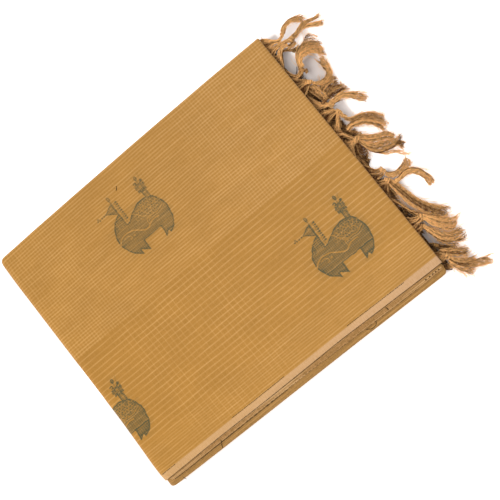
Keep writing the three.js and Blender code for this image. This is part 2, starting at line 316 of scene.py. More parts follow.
def line_distance(x: Array, y: Array, line: Array) -> Array:
    """How far each place is from a line of straight parts."""
    nearest = np.full(x.shape, 1e9)
    for (ax, ay), (bx, by) in zip(line[:-1], line[1:]):
        length = max((bx - ax) ** 2 + (by - ay) ** 2, 1e-9)
        share = np.clip(((x - ax) * (bx - ax) + (y - ay) * (by - ay)) / length, 0, 1)
        nearest = np.minimum(nearest, np.hypot(x - ax - share * (bx - ax), y - ay - share * (by - ay)))
    return nearest


def inside(x: Array, y: Array, outline: Array) -> Array:
    """Whether each place is inside a closed outline."""
    within = np.zeros(x.shape, bool)
    for (ax, ay), (bx, by) in zip(outline, np.roll(outline, -1, axis=0)):
        crosses = (ay > y) != (by > y)
        at = ax + (y - ay) * (bx - ax) / (by - ay if by != ay else 1e-9)
        within ^= crosses & (x < at)
    return within


@dataclass(frozen=True)
class Bird:
    """A traditional swan woven into the cloth, facing along -X, with its feet towards -Y.

    Attributes:
        warp: Where the middle of its body is, along the warp.
        weft: Where the middle of its body is, across the cloth.
        strength: How strongly its thread covers the cloth.
        belly_line: How far up the body its ruled line lies.
        seed: Fixes its small unevenness.
        squash: How much its upper half is drawn together by a denser weft.
        lean: How far its neck and tail stand towards +X.
        stretch: How much its neck and tail are drawn out again.
    """

    warp: float
    weft: float
    strength: float
    belly_line: float
    seed: int
    squash: float = 1.0
    lean: float = 0.0
    stretch: float = 0.0

    reach: tuple[float, float, float, float] = (-39.0, 35.0, -28.0, 50.0)

    def body(self) -> tuple[Pair, ...]:
        """The outline of the body and both legs."""
        chest = curve_through([(-12.9, 23.6), (-17.5, 22.2), (-24.0, 17.2), (-29.2, 9.0), (-31.0, 0.0),
                               (-29.6, -8.2), (-25.6, -15.6), (-21.0, -20.2), (-17.0, -23.6)], 4)
        feet = [(-17.8, -18.6), (-15.6, -18.2), (-9.0, -24.0), (-8.4, -12.4), (13.4, -12.4), (12.4, -24.0),
                (17.4, -20.0), (18.0, -23.8)]
        rump = curve_through([(18.4, -23.8), (24.6, -19.6), (29.0, -12.4), (31.1, -3.2), (30.6, 5.0),
                              (27.4, 12.6), (23.6, 17.6), (16.4, 20.2), (9.0, 20.0), (2.4, 17.8),
                              (-4.0, 14.2), (-9.6, 10.6)], 4)
        return tuple(map(tuple, [*chest, *feet, *rump, (-12.9, 10.6)]))

    def neck_and_head(self) -> list[Mark]:
        """The upright neck with its bead row, the pointed head, and the string from its beak."""
        head = ((-25.0, 31.2), (-19.4, 34.6), (-13.6, 36.6), (-13.4, 23.4), (-16.6, 26.0), (-20.6, 28.9))
        marks: list[Mark] = [
            Patch(head, 0.55, 0.95, 0.8),
            Stroke(((-23.0, 31.2), (-19.0, 31.9), (-16.0, 30.2)), 0.7, 0.22),
            Dot((-16.4, 33.4), (0.9, 0.8), 0.24),
            Stroke(((-12.9, 36.6), (-12.9, 11.0)), 0.7, 0.95, False),
            Stroke(((-11.7, 36.6), (-11.7, 10.8)), 1.0, 0.02, False),
            Stroke(((-10.5, 35.8), (-10.5, 11.4)), 0.6, 0.72, False),
            Stroke(((-13.1, 39.6), (-13.1, 36.8)), 0.8, 0.7, False),
            Dot((-13.2, 41.8), (1.7, 2.6), 0.8),
            Dot((-13.2, 42.2), (0.6, 1.1), 0.35),
            Dot((-26.6, 31.3), (0.9, 0.8), 0.95),
            Dot((-29.3, 31.3), (0.9, 0.9), 0.85),
            Dot((-32.2, 31.0), (0.9, 0.8), 0.8),
            Dot((-33.6, 32.8), (1.1, 1.2), 0.6),
            Dot((-35.0, 31.2), (1.0, 0.8), 0.8),
        ]
        for number in range(9):
            marks.append(Dot((-8.5, 15.6 + 2.5 * number), (1.2, 0.9), 1.1))
        return marks

    def tail(self) -> list[Mark]:
        """The upright tail plume, a stem with three scalloped tiers, two curls and a bud."""
        return [
            Patch(((19.4, 18.6), (24.2, 16.6), (24.4, 25.4), (18.6, 26.2)), 0.55, 0.95, 0.8),
            Stroke(((21.6, 19.0), (21.4, 25.4)), 0.7, 0.2, False),
            Patch(((15.8, 26.4), (26.2, 26.2), (25.6, 29.2), (16.4, 29.0)), 0.5, 0.95, 0.7),
            Patch(((15.4, 30.0), (26.4, 29.8), (26.6, 32.6), (15.8, 32.4)), 0.5, 1.0, 0.7),
            Dot((18.6, 27.7), (1.1, 0.8), 1.0),
            Dot((23.4, 27.7), (1.1, 0.8), 1.0),
            Dot((20.9, 31.2), (1.0, 0.9), 0.1),
            Stroke(((16.0, 33.4), (18.6, 32.6), (21.4, 33.6), (24.0, 32.6), (26.2, 33.4)), 0.9, 0.95),
            Stroke(((16.8, 36.6), (18.6, 37.2), (19.2, 35.2), (17.6, 34.4), (21.2, 34.2), (24.6, 34.8)),
                   1.1, 0.95),
            Dot((25.2, 36.0), (1.6, 1.4), 1.0),
            Stroke(((21.4, 35.0), (21.6, 38.6)), 1.3, 0.4, False),
            Dot((21.7, 40.8), (1.7, 2.1), 0.9),
            Dot((21.7, 41.0), (0.6, 0.8), 0.4),
            Stroke(((24.8, 38.6), (25.8, 40.4), (26.8, 43.0)), 0.5, 0.45),
        ]

    def feathers(self) -> list[Mark]:
        """The leafy field on the rump: small curls, inside a scalloped double border."""
        chance = np.random.default_rng(self.seed + 5)
        marks: list[Mark] = []
        for row in range(7):
            for column in range(11):
                x = -0.8 + 3.05 * column + (1.5 if row % 2 else 0.0) + chance.uniform(-0.4, 0.4)
                y = 17.8 - 2.6 * row + chance.uniform(-0.3, 0.3)
                if y > 0.022 * (x - 14) ** 2 + 2.2 and y < 18.6 - 0.03 * (x - 13) ** 2:
                    turn = chance.uniform(0, TURN)
                    curl = [(x + 1.3 * math.cos(turn + bend), y + 1.1 * math.sin(turn + bend))
                            for bend in (0, 0.9, 1.8, 2.7)]
                    marks.append(Dot((x, y), (0.75, 0.65), 0.96))
                    marks.append(Stroke(tuple(curl), 0.6, 0.16))
        border = ((-2.0, 14.8), (1.6, 11.0), (4.2, 7.4), (8.0, 4.6), (11.0, 2.2), (16.2, 1.6), (19.0, 0.8),
                  (23.6, 2.2), (28.6, 4.6))
        marks.append(Stroke(tuple((x + 0.3, y - 0.9) for x, y in border), 0.6, 0.98))
        marks.append(Stroke(border, 0.75, 0.06))
        marks.append(Stroke(tuple((x + 0.9, y - 2.0) for x, y in border[1:]), 0.55, 0.16))
        return marks

    def body_marks(self) -> list[Mark]:
        """The chest lines, the ruled belly line, the claws' dark bands and the pale vine."""
        marks: list[Mark] = []
        for number in range(6):
            height = 20.4 - 2.05 * number
            left = -21.0 - 0.35 * number
            marks += [Stroke(((left, height), (-13.6, height)), 0.6, 0.28, False),
                      Stroke(((left - 1.6, height - 1.0), (-13.6, height - 1.0)), 0.6, 1.05, False)]
        low_line = self.belly_line < -8
        side = 27.6 if low_line else 30.4
        marks += [Stroke(((-21.4, 19.6), (-21.4, 9.8)), 0.5, 0.3, False),
                  Stroke(((-17.4, 20.6), (-17.4, 9.8)), 0.5, 0.4, False),
                  Stroke(((-24.6, 8.9), (-13.6, 8.9)), 0.6, 0.22, False),
                  Stroke(((-side, self.belly_line), (side, self.belly_line)), 0.8, 0.95, False)]
        if low_line:
            marks.append(Stroke(((13.0, self.belly_line), (27.2, self.belly_line)), 1.2, 1.4, False))
        vine = ((-31.0, -2.0), (-26.4, 2.2), (-20.0, 3.7), (-13.2, 2.3), (-7.2, -1.4), (-2.4, -4.9),
                (2.4, -5.9), (6.2, -4.4), (11.0, -2.4), (17.6, -2.7))
        curl = ((-24.4, 0.2), (-20.6, 0.9), (-17.6, -0.9), (-17.4, -3.4), (-19.6, -4.0))
        marks += [Stroke(((-28.0, -11.6), (28.6, -11.6)), 0.6, 0.34, False),
                  Stroke(tuple((x, y - 1.0) for x, y in vine), 0.7, 0.85),
                  Stroke(vine, 1.3, 0.06),
                  Stroke(curl, 0.8, 0.1),
                  Stroke(((6.0, -4.2), (5.6, 0.2), (7.4, 2.2), (9.2, 0.8), (7.8, -0.6)), 0.8, 0.1),
                  Dot((-13.4, -2.6), (1.0, 1.0), 0.14)]
        for left, right in ((12.8, 17.4), (18.8, 24.4), (-14.0, -9.4)):
            marks.append(Stroke(((left, -20.0), (right, -20.0)), 1.1, 1.1, False))
        return marks

    def tones(self, warp: Array, weft: Array) -> Array:
        """How much the bird's thread covers the cloth.

        Args:
            warp: Places along the warp.
            weft: Places across the cloth.

        Returns:
            A share from 0 to 1 for each place.
        """
        x = warp - self.warp
        y = weft - self.weft
        left, right, low, high = self.reach
        near = (x > left) & (x < right) & (y > low) & (y < high)
        tones = np.zeros(warp.shape)
        if not near.any():
            return tones
        wander = Ripples(0.22, 14, 5, self.seed)
        upper = 0.5 * smoothstep(9, 12, y[near]) + 0.5 * smoothstep(12, 40, y[near])
        px = x[near] - self.lean * upper + wander.at(x[near], y[near])
        py = np.where(y[near] > 0, y[near] * self.squash, y[near]) + wander.at(y[near], x[near])
        py = py - self.stretch * np.maximum(y[near] - 18, 0)
        body = Patch(self.body(), 0.66, 1.12, 1.2)
        marks = [body, *self.body_marks(), *self.feathers(), *self.neck_and_head(), *self.tail()]
        drawn = np.zeros(px.shape)
        for mark in marks:
            drawn = mark.lay(px, py, drawn)
        woven = 0.9 + 0.17 * np.sin(TURN * py / 1.92) + 0.19 * np.sin(TURN * px / 2.05)
        uneven = 1 + Ripples(0.1, 9, 1.6, self.seed + 1, 12).at(px, py)
        spine = [*self.body(), (-12.9, 40.0), (-20.0, 31.0), (-12.9, 23.6), (21.0, 19.0), (21.6, 40.0)]
        haze = 0.2 * np.exp(-(line_distance(px, py, np.array(spine)) / 4.5))
        haze = haze * np.clip(0.4 + Ripples(0.9, 24, 4, self.seed + 2).at(0.25 * px, py), 0, 1)
        tones[near] = np.clip(self.strength * drawn * woven * uneven + haze, 0, 1)
        return tones


# The form of the packet

@dataclass(frozen=True)
class Packet:
    """The folded packet: how its leaves lie, and how they wander from true."""

    length: float = 345.0
    width: float = 280.0
    height: float = 18.0
    back_fold: float = 2.5
    right_fold: float = 2.0
    right_draw: float = 0.6
    nose_power: float = 2.5
    corner: float = 4.5

    # Measured places of the round left end, the back fold and the top leaf's woven edge
    left_outline: tuple[Pair, ...] = (
        (-150, -175.6), (-122, -176.2), (-98, -175.4), (-66, -174.6), (-20, -174.7), (30, -175.0),
        (80, -175.3), (110, -175.5), (140, -174.9))
    back_outline: tuple[Pair, ...] = (
        (-172, 139.8), (-120, 140.7), (-64, 141.2), (10, 141.6), (90, 141.4), (130, 141.0), (172, 140.3))
    edge_outline: tuple[Pair, ...] = (
        (-174, -139.7), (-150, -139.3), (-100, -138.6), (-50, -139.1), (0, -138.8), (50, -138.2),
        (100, -139.3), (150, -140.2), (174, -140.4))
    settle: Ripples = Ripples(0.16, 110, 34, 5)

    @property
    def right(self) -> float:
        """The right end, where the top leaf turns over."""
        return self.length / 2

    @property
    def radius(self) -> float:
        """The radius of the round left end."""
        return self.height / 2

    @property
    def wrap_centre(self) -> float:
        """Where the round left end starts."""
        return self.radius - self.length / 2

    @property
    def wrap_length(self) -> float:
        """The outer leaf's length round the left end."""
        return math.pi * self.radius

    def under_start(self) -> float:
        """The warp place where the outer leaf comes flat again under the packet."""
        return self.wrap_centre - self.wrap_length

    def leaf_points(self, warp: Array, y: Array, depth: Array, right_fold: bool) -> Array:
        """Where a leaf's points lie.

        Args:
            warp: Places along the warp, with the leaf unrolled.
            y: Places across the packet.
            depth: How far under the packet's skin each point is.
            right_fold: Whether the leaf turns down at the right end.

        Returns:
            One row of x, y and z for each point.
        """
        turn = np.clip((self.wrap_centre - warp) / self.radius, 0, math.pi)
        radius = self.radius - depth
        nose = np.abs(np.cos(turn)) ** self.nose_power + np.sin(turn) ** self.nose_power
        nose = nose ** (-1 / self.nose_power)
        x = np.where(warp > self.wrap_centre, warp, self.wrap_centre - radius * nose * np.sin(turn))
        z = self.radius + radius * np.where(turn > 0, nose * np.cos(turn), 1.0)
        under = warp < self.under_start()
        x = np.where(under, self.wrap_centre + (self.under_start() - warp), x)
        if right_fold:
            x, z = self._turn_down(x, z, under)
        x = x + self._left_bulge(x, y, depth)
        y = y + self._back_bulge(x, y)
        y = y - self._corner_cut(x, y)
        lift = self.settle.at(x, y) * smoothstep(6, 16, z) * (1 - smoothstep(0, 8, depth))
        return np.stack([x, y, z + lift], axis=-1)

    def _turn_down(self, x: Array, z: Array, under: Array) -> tuple[Array, Array]:
        """Turns the right end of the top leaf down, and that of the under leaf up."""
        start = self.right - self.right_fold - self.right_draw
        past = np.maximum(x - start, 0)
        angle = np.clip(past / self.right_fold, 0, math.pi / 2)
        straight = np.maximum(past - self.right_fold * math.pi / 2, 0)
        drop = self.right_fold * (1 - np.cos(angle)) + straight
        turned = start + self.right_fold * np.sin(angle)
        x = np.where(past > 0, turned, x)
        z = np.where(past > 0, np.where(under, z + drop, z - drop), z)
        return x, z

    def _left_bulge(self, x: Array, y: Array, depth: Array) -> Array:
        """How far the round left end stands out past the even form."""
        out = through(self.left_outline, y) + self.length / 2
        return out * (1 - smoothstep(-self.length / 2 + 2, -self.length / 2 + 26, x)) * (1 - depth / 22)

    def _back_bulge(self, x: Array, y: Array) -> Array:
        """How far the back fold stands off the even form."""
        out = through(self.back_outline, x) - self.width / 2
        return out * smoothstep(self.width / 2 - 30, self.width / 2 - 3, y)

    def _corner_cut(self, x: Array, y: Array) -> Array:
        """How far the back-left corner is rounded off."""
        into = np.clip((-self.length / 2 + self.corner - x) / (self.corner + 2.2), 0, 0.98)
        cut = self.corner * (1 - np.sqrt(1 - into ** 2))
        return cut * smoothstep(self.width / 2 - 14, self.width / 2 - 3, y)

    def edge(self, x: Array) -> Array:
        """Where the top leaf's woven edge runs."""
        return through(self.edge_outline, x)


# Finishes

def add_node(tree: bpy.types.NodeTree, kind: str, inputs: Sequence = (), named: dict | None = None,
             out: int | str = 0, **settings: object) -> Socket | None:
    """Adds one node with its settings and links.

    Args:
        tree: The material's or world's node tree.
        kind: Blender's name of the node type, without ShaderNode in front.
        inputs: What goes into its first inputs, in order: values or other nodes' outputs.
        named: The same for inputs by name or number.
        out: The name or number of the output to give back.
        settings: The node's own settings.

    Returns:
        The chosen output, or None for a node that has none.
    """
    node = tree.nodes.new(f"ShaderNode{kind}")
    for name, value in settings.items():
        setattr(node, name, value)
    for place, value in (*enumerate(inputs), *(named or {}).items()):
        if isinstance(value, Socket):
            tree.links.new(value, node.inputs[place])
        else:
            node.inputs[place].default_value = value
    return node.outputs[out] if node.outputs else None


def new_material(name: str) -> tuple[Material, Adder]:
    """Makes an empty material.

    Args:
        name: Its name.

    Returns:
        The material, and add_node for its own node tree.
    """
    material = bpy.data.materials.new(name)
    material.use_nodes = True
    material.node_tree.nodes.clear()
    return material, partial(add_node, material.node_tree)


def cloth_noise(add: Adder, spot: Socket, size: Pair, detail: float) -> Socket:
    """Soft noise in the plane of the cloth.

    Args:
        add: Adds a node to the material.
        spot: The cloth's own coordinates.
        size: The size of a grain along the warp and across it.
        detail: How many finer layers the noise has.

    Returns:
        The noise.
    """
    scaled = add("VectorMath", (spot, (1 / size[0], 1 / size[1], 1)), operation="MULTIPLY")
    return add("TexNoise", (), {"Vector": scaled, "Scale": 1.0, "Detail": detail}, noise_dimensions="2D")


def fabric_surface(add: Adder, colour: Socket, look: Triple, relief: Socket | None = None,
                   relief_depth: float = 0.0) -> None:
    """Ends a fabric's nodes with its matt, faintly fuzzy surface.

    Args:
        add: Adds a node to the material.
        colour: The fabric's colour.
        look: Its roughness, the weight of its sheen and its specular level.
        relief: Its relief, from 0 to 1, if it has any.
        relief_depth: How deep the relief is.
    """
    named = dict(zip(("Roughness", "Sheen Weight", "Specular IOR Level"), look))
    if relief is not None:
        named["Normal"] = add("Bump", (), {"Strength": 0.5, "Distance": relief_depth * MM, "Height": relief})
    surface = add("BsdfPrincipled", (), {"Base Color": colour, **named})
    add("OutputMaterial", (surface,))


@dataclass(frozen=True)
class HandloomCotton:
    """Ochre handloom cotton, plain woven: matt, with pale pinstripes and an uneven hand-thrown weft."""

    name: str = "handloom_cotton_ochre"
    ground: str = "b58342"
    pale: str = "c8995d"
    dark: str = "a27532"
    selvedge: str = "c9a177"
    thread: str = "545038"

    # Roughness, sheen and specular level of unglazed cotton
    look: Triple = (0.92, 0.12, 0.2)
    relief_depth: float = 0.12

    # Real spacings of the pinstripes, and where one of each kind lies
    fine_stripe: float = 3.03
    fine_start: float = 11.2
    wide_stripe: float = 5.38
    wide_start: float = 5.6
    close_stripe: float = 2.69
    fine_check: float = 3.38
    wide_check: float = 6.15
    stripe_share: float = 0.7
    close_share: float = 0.6

    # How long the stronger and weaker parts of a line are, and how far apart lines are in the noise for it
    patch_length: float = 34.0
    line_step: float = 7.31

    fine_from: float = 9.6
    close_stripes: Pair = (-133.0, -101.0)
    faint_checks: Pair = (-92.0, 52.0)
    wide_checks: Pair = (-122.0, 12.0)
    past_edge: float = 400.0

    # A yarn is 0.25 mm, too fine to show, so its grain is drawn about three times as coarse
    grain: float = 0.8
    slub_length: float = 7.0
    edge_place: float = -139.0
    edge_width: float = 6.6

    # The cloth is a little more saturated towards the left end, and painted shade darkens it towards the back
    half_length: float = 175.0
    left_tint: tuple[float, float, float, float] = (0.98, 0.95, 0.82, 1.0)
    right_tint: tuple[float, float, float, float] = (0.985, 0.99, 1.05, 1.0)
    shaded_stretch: Pair = (-70.0, 130.0)
    shades: Pair = (1.02, 0.93)

    def _stripes(self, add: Adder, place: Socket, along: Socket, shown: Socket, spacing: float,
                 start: float, half_width: float, soft: float) -> Socket:
        """Draws a set of even lines whose strength changes from line to line and along each one.

        Args:
            add: Adds a node to the material.
            place: The coordinate across the lines.
            along: The coordinate along the lines.
            shown: How strongly the whole set shows at each place.
            spacing: The distance between lines.
            start: Where one line lies.
            half_width: Half the width of a line.
            soft: How softly a line ends.

        Returns:
            The lines' strength.
        """
        shifted = add("Math", (place, start), operation="SUBTRACT")
        counted = add("Math", (shifted, spacing), operation="DIVIDE")
        number = add("Math", (add("Math", (counted, 0.5), operation="ADD"),), operation="FLOOR")
        offset = add("Math", (counted, number), operation="SUBTRACT")
        away = add("Math", (offset,), operation="ABSOLUTE")
        distance = add("Math", (away, spacing), operation="MULTIPLY")
        line = add("MapRange", (distance, half_width - soft, half_width + soft, 1.0, 0.0),
                   interpolation_type="SMOOTHSTEP")
        stretch = add("Math", (along, 1 / self.patch_length), operation="MULTIPLY")
        apart = add("Math", (number, self.line_step), operation="MULTIPLY")
        spot = add("CombineXYZ", (stretch, apart))
        chance = add("TexNoise", (), {"Vector": spot, "Scale": 1.0, "Detail": 3.0}, noise_dimensions="2D")
        strength = add("MapRange", (chance, 0.3, 0.7, 0.45, 1.25))
        drawn = add("Math", (line, strength), operation="MULTIPLY")
        return add("Math", (drawn, shown), operation="MULTIPLY")

    def _band(self, add: Adder, place: Socket, low: float, high: float, soft: float) -> Socket:
        """A soft-edged band, 1 between low and high and 0 outside."""
        rise = add("MapRange", (place, low - soft, low + soft, 0.0, 1.0), interpolation_type="SMOOTHSTEP")
        fall = add("MapRange", (place, high - soft, high + soft, 1.0, 0.0), interpolation_type="SMOOTHSTEP")
        return add("Math", (rise, fall), operation="MULTIPLY")

    def _noise(self, add: Adder, spot: Socket, size: Pair, detail: float, low: float, high: float) -> Socket:
        """Soft noise, as in cloth_noise, from low to high."""
        return add("MapRange", (cloth_noise(add, spot, size, detail), 0.25, 0.75, low, high))

    def _pattern(self, add: Adder, spot: Socket, warp: Socket, wavy_warp: Socket,
                 wavy_weft: Socket) -> Socket:
        """Draws the pinstripes and the checks.

        Args:
            add: Adds a node to the material.
            spot: The cloth's own coordinates.
            warp: The place along the warp.
            wavy_warp: The same, with the small wander of the picks.
            wavy_weft: The place across the cloth, with the small wander of the warp yarns.

        Returns:
            How pale each place is, from 0 to 1.
        """
        fine_here = self._band(add, wavy_weft, self.fine_from, self.past_edge, 0.4)
        wide_here = self._band(add, wavy_weft, -self.past_edge, self.fine_from, 0.4)
        close_here = self._band(add, wavy_weft, *self.close_stripes, 3.0)
        close_here = add("Math", (close_here, self.close_share), operation="MULTIPLY")
        fine = self._stripes(add, wavy_weft, warp, fine_here, self.fine_stripe, self.fine_start, 0.62, 0.55)
        wide = self._stripes(add, wavy_weft, warp, wide_here, self.wide_stripe, self.wide_start, 0.55, 0.55)
        close = self._stripes(add, wavy_weft, warp, close_here, self.close_stripe, self.wide_start, 0.5, 0.5)
        lines = add("Math", (add("Math", (fine, wide), operation="ADD"), close), operation="MAXIMUM")

        faint = add("MapRange", (self._band(add, warp, *self.faint_checks, 30.0), 0.0, 1.0, 0.46, 0.12))
        patchy = self._noise(add, spot, (90.0, 60.0), 2.0, 0.2, 0.62)
        patchy = add("Math", (patchy, self._band(add, warp, *self.wide_checks, 14.0)), operation="MULTIPLY")
        fine_here = add("Math", (fine_here, faint), operation="MULTIPLY")
        wide_here = add("Math", (wide_here, patchy), operation="MULTIPLY")
        fine = self._stripes(add, wavy_warp, wavy_weft, fine_here, self.fine_check, 0.0, 0.6, 0.6)
        wide = self._stripes(add, wavy_warp, wavy_weft, wide_here, self.wide_check, 0.0, 0.4, 0.4)
        checks = add("Math", (fine, wide), operation="ADD")
        both = add("Math", (lines, checks), operation="ADD")
        return add("Math", (both, self.stripe_share), operation="MULTIPLY", use_clamp=True)

    def build(self) -> Material:
        """Makes the material.

        Returns:
            The finished material, which reads the cloth's own coordinates and the woven birds' attribute.
        """
        material, add = new_material(self.name)
        spot = add("UVMap", uv_map=WARP_UV)
        warp = add("SeparateXYZ", (spot,))
        weft = add("SeparateXYZ", (spot,), out=1)
        wander = self._noise(add, spot, (60.0, 26.0), 2.0, -0.45, 0.45)
        wavy_warp = add("Math", (warp, wander), operation="ADD")
        wavy_weft = add("Math", (weft, wander), operation="ADD")
        pattern = self._pattern(add, spot, warp, wavy_warp, wavy_weft)

        slubs = self._noise(add, spot, (self.slub_length, self.grain), 3.0, 0.0, 1.0)
        picks = self._noise(add, spot, (self.grain, self.slub_length), 3.0, 0.0, 1.0)
        grain = add("Math", (add("Math", (slubs, picks), operation="ADD"), 0.5), operation="MULTIPLY")
        edge = self._band(add, weft, -160.0, self.edge_place + self.edge_width, 0.5)
        ribs = self._noise(add, spot, (0.9, 5.0), 2.0, 0.62, 1.0)
        edge = add("Math", (edge, ribs), operation="MULTIPLY")
        bird = add("Attribute", out="Fac", attribute_name=THREAD_ATTRIBUTE)
        cloth = linear_colour(self.dark)
        for share, colour in ((grain, self.ground), (pattern, self.pale), (edge, self.selvedge),
                              (bird, self.thread)):
            cloth = add("Mix", (share,), {6: cloth, 7: linear_colour(colour)}, 2, data_type="RGBA")

        blotch = self._noise(add, spot, (46.0, 30.0), 3.0, 0.955, 1.045)
        speck = self._noise(add, spot, (1.1, 1.1), 1.0, 0.965, 1.035)
        shade = add("Math", (blotch, speck), operation="MULTIPLY")
        # Painted shade: the cloth is darkened towards the back and lightened a little at the front
        back = add("MapRange", (wavy_weft, *self.shaded_stretch, *self.shades))
        shade = add("Math", (shade, back), operation="MULTIPLY")
        # A slow change of colour from the left end to the right
        fade = add("MapRange", (warp, -self.half_length, self.half_length, 0.0, 1.0))
        tint = add("Mix", (fade,), {6: self.left_tint, 7: self.right_tint}, 2, data_type="RGBA")
        cloth = add("VectorMath", (cloth,), {"Scale": shade}, operation="SCALE")
        cloth = add("VectorMath", (cloth, tint), operation="MULTIPLY")
        relief = add("Math", (pattern, grain), operation="ADD")
        fabric_surface(add, cloth, self.look, relief, self.relief_depth)
        return material


@dataclass(frozen=True)
class PlainCotton:
    """Plain-woven cotton of the lower leaves: matt, browner, with paler warp streaks and faint wrinkles."""

    name: str
    ground: str
    pale: str
    dark: str
    look: Triple = (0.93, 0.1, 0.2)
    relief_depth: float = 0.2
    warp_grain: Pair = (6.0, 0.8)
    weft_grain: Pair = (0.8, 4.0)
    streak: Pair = (120.0, 1.3)
    wrinkle: Pair = (3.4, 30.0)

    def build(self) -> Material:
        """Makes the material.

        Returns:
            The finished material, which reads the cloth's own coordinates.
        """
        material, add = new_material(self.name)
        spot = add("UVMap", uv_map=WARP_UV)
        warps = cloth_noise(add, spot, self.warp_grain, 3.0)
        wefts = cloth_noise(add, spot, self.weft_grain, 3.0)
        grain = add("MapRange", (add("Math", (warps, wefts), operation="ADD"), 0.7, 1.3))
        crest = add("MapRange", (cloth_noise(add, spot, self.streak, 2.0), 0.48, 0.72, 0.0, 0.8))
        cloth = linear_colour(self.dark)
        for share, colour in ((grain, self.ground), (crest, self.pale)):
            cloth = add("Mix", (share,), {6: cloth, 7: linear_colour(colour)}, 2, data_type="RGBA")
        relief = add("Math", (cloth_noise(add, spot, self.wrinkle, 2.0), grain), operation="ADD")
        fabric_surface(add, cloth, self.look, relief, self.relief_depth)
        return material


@dataclass(frozen=True)
class CottonYarn:
    """Soft cotton yarn, loosely spun: matt, with tone that changes from strand to strand."""

    name: str
    light: str
    dark: str
    look: Triple = (0.9, 0.05, 0.06)
    fibres_per_metre: float = 900.0
    fuzz: float = 0.18

    def build(self) -> Material:
        """Makes the material.

        Returns:
            The finished material, which reads each strand's own tone.
        """
        material, add = new_material(self.name)
        tone = add("Attribute", out="Fac", attribute_name=TONE_ATTRIBUTE)
        place = add("TexCoord", out="Object")
        fibre = add("TexNoise", (), {"Vector": place, "Scale": self.fibres_per_metre, "Detail": 2.0})
        fuzz = add("MapRange", (fibre, 0.3, 0.7, -self.fuzz, self.fuzz))
        share = add("Math", (tone, fuzz), operation="ADD", use_clamp=True)
        colour = add("Mix", (share,), {6: linear_colour(self.dark), 7: linear_colour(self.light)}, 2,
                     data_type="RGBA")
        fabric_surface(add, colour, self.look)
        return material


# The leaves

class Shown(Enum):
    """How a leaf's right end is finished."""

    TURNED_DOWN = "turned down"
    CUT = "cut"


@dataclass
class Leaf:
    """One ply that runs over the packet, round its left end and back under it.

    Attributes:
        name: The piece's name.
        node: The solid that it stands for.
        slot: The record's material slot, which it hands on to make_object.
        packet: The packet that it belongs to.
        warps: The grid's places along the warp.
        wefts: The grid's places across the cloth.
        place: Gives y, depth and the weft coordinate from a warp and a grid place.
        end: How its right end is finished.
        birds: The birds woven into it.
        bird_cuts: How many times finer the grid is cut round a bird.
    """

    name: str
    node: str
    slot: str
    packet: Packet
    warps: Array
    wefts: Array
    place: Callable[[Array, Array], tuple[Array, Array, Array]]
    end: Shown
    birds: tuple[Bird, ...] = ()
    bird_cuts: int = 4

    def _flat_grid(self) -> Mesh:
        """The leaf unrolled: a flat grid, finer where a bird is woven in."""
        points = [(warp, weft, 0.0) for weft in self.wefts for warp in self.warps]
        mesh = bpy.data.meshes.new(self.name)
        mesh.from_pydata(points, [], grid_faces(len(self.warps), len(self.wefts)))
        if self.birds:
            self._refine(mesh)
        return mesh

    def _refine(self, mesh: Mesh) -> None:
        """Cuts the grid finer round each bird."""
        work = bmesh.new()
        work.from_mesh(mesh)
        edges = set()
        for face in work.faces:
            middle = face.calc_center_median()
            for bird in self.birds:
                left, right, low, high = bird.reach
                if left < middle.x - bird.warp < right and low < middle.y - bird.weft < high:
                    edges.update(face.edges)
        bmesh.ops.subdivide_edges(work, edges=list(edges), cuts=self.bird_cuts, use_grid_fill=True)
        work.to_mesh(mesh)
        work.free()

    def build(self, material: Material) -> Piece:
        """Makes the leaf.

        Args:
            material: Its finish.

        Returns:
            The finished piece.
        """
        mesh = self._flat_grid()
        flat = np.zeros(len(mesh.vertices) * 3)
        mesh.vertices.foreach_get("co", flat)
        warp, grid = flat[0::3], flat[1::3]
        y, depth, weft = self.place(warp, grid)
        points = self.packet.leaf_points(warp, y, depth, self.end is Shown.TURNED_DOWN)
        mesh.vertices.foreach_set("co", (points * MM).ravel())
        set_cloth_places(mesh, np.column_stack([warp, weft]))
        if self.birds:
            thread = np.max([bird.tones(warp, weft) for bird in self.birds], axis=0)
            set_shares(mesh, THREAD_ATTRIBUTE, thread)
        mesh.update()
        piece = make_object(self.name, mesh, material, self.slot)
        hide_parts(self.node)
        return piece


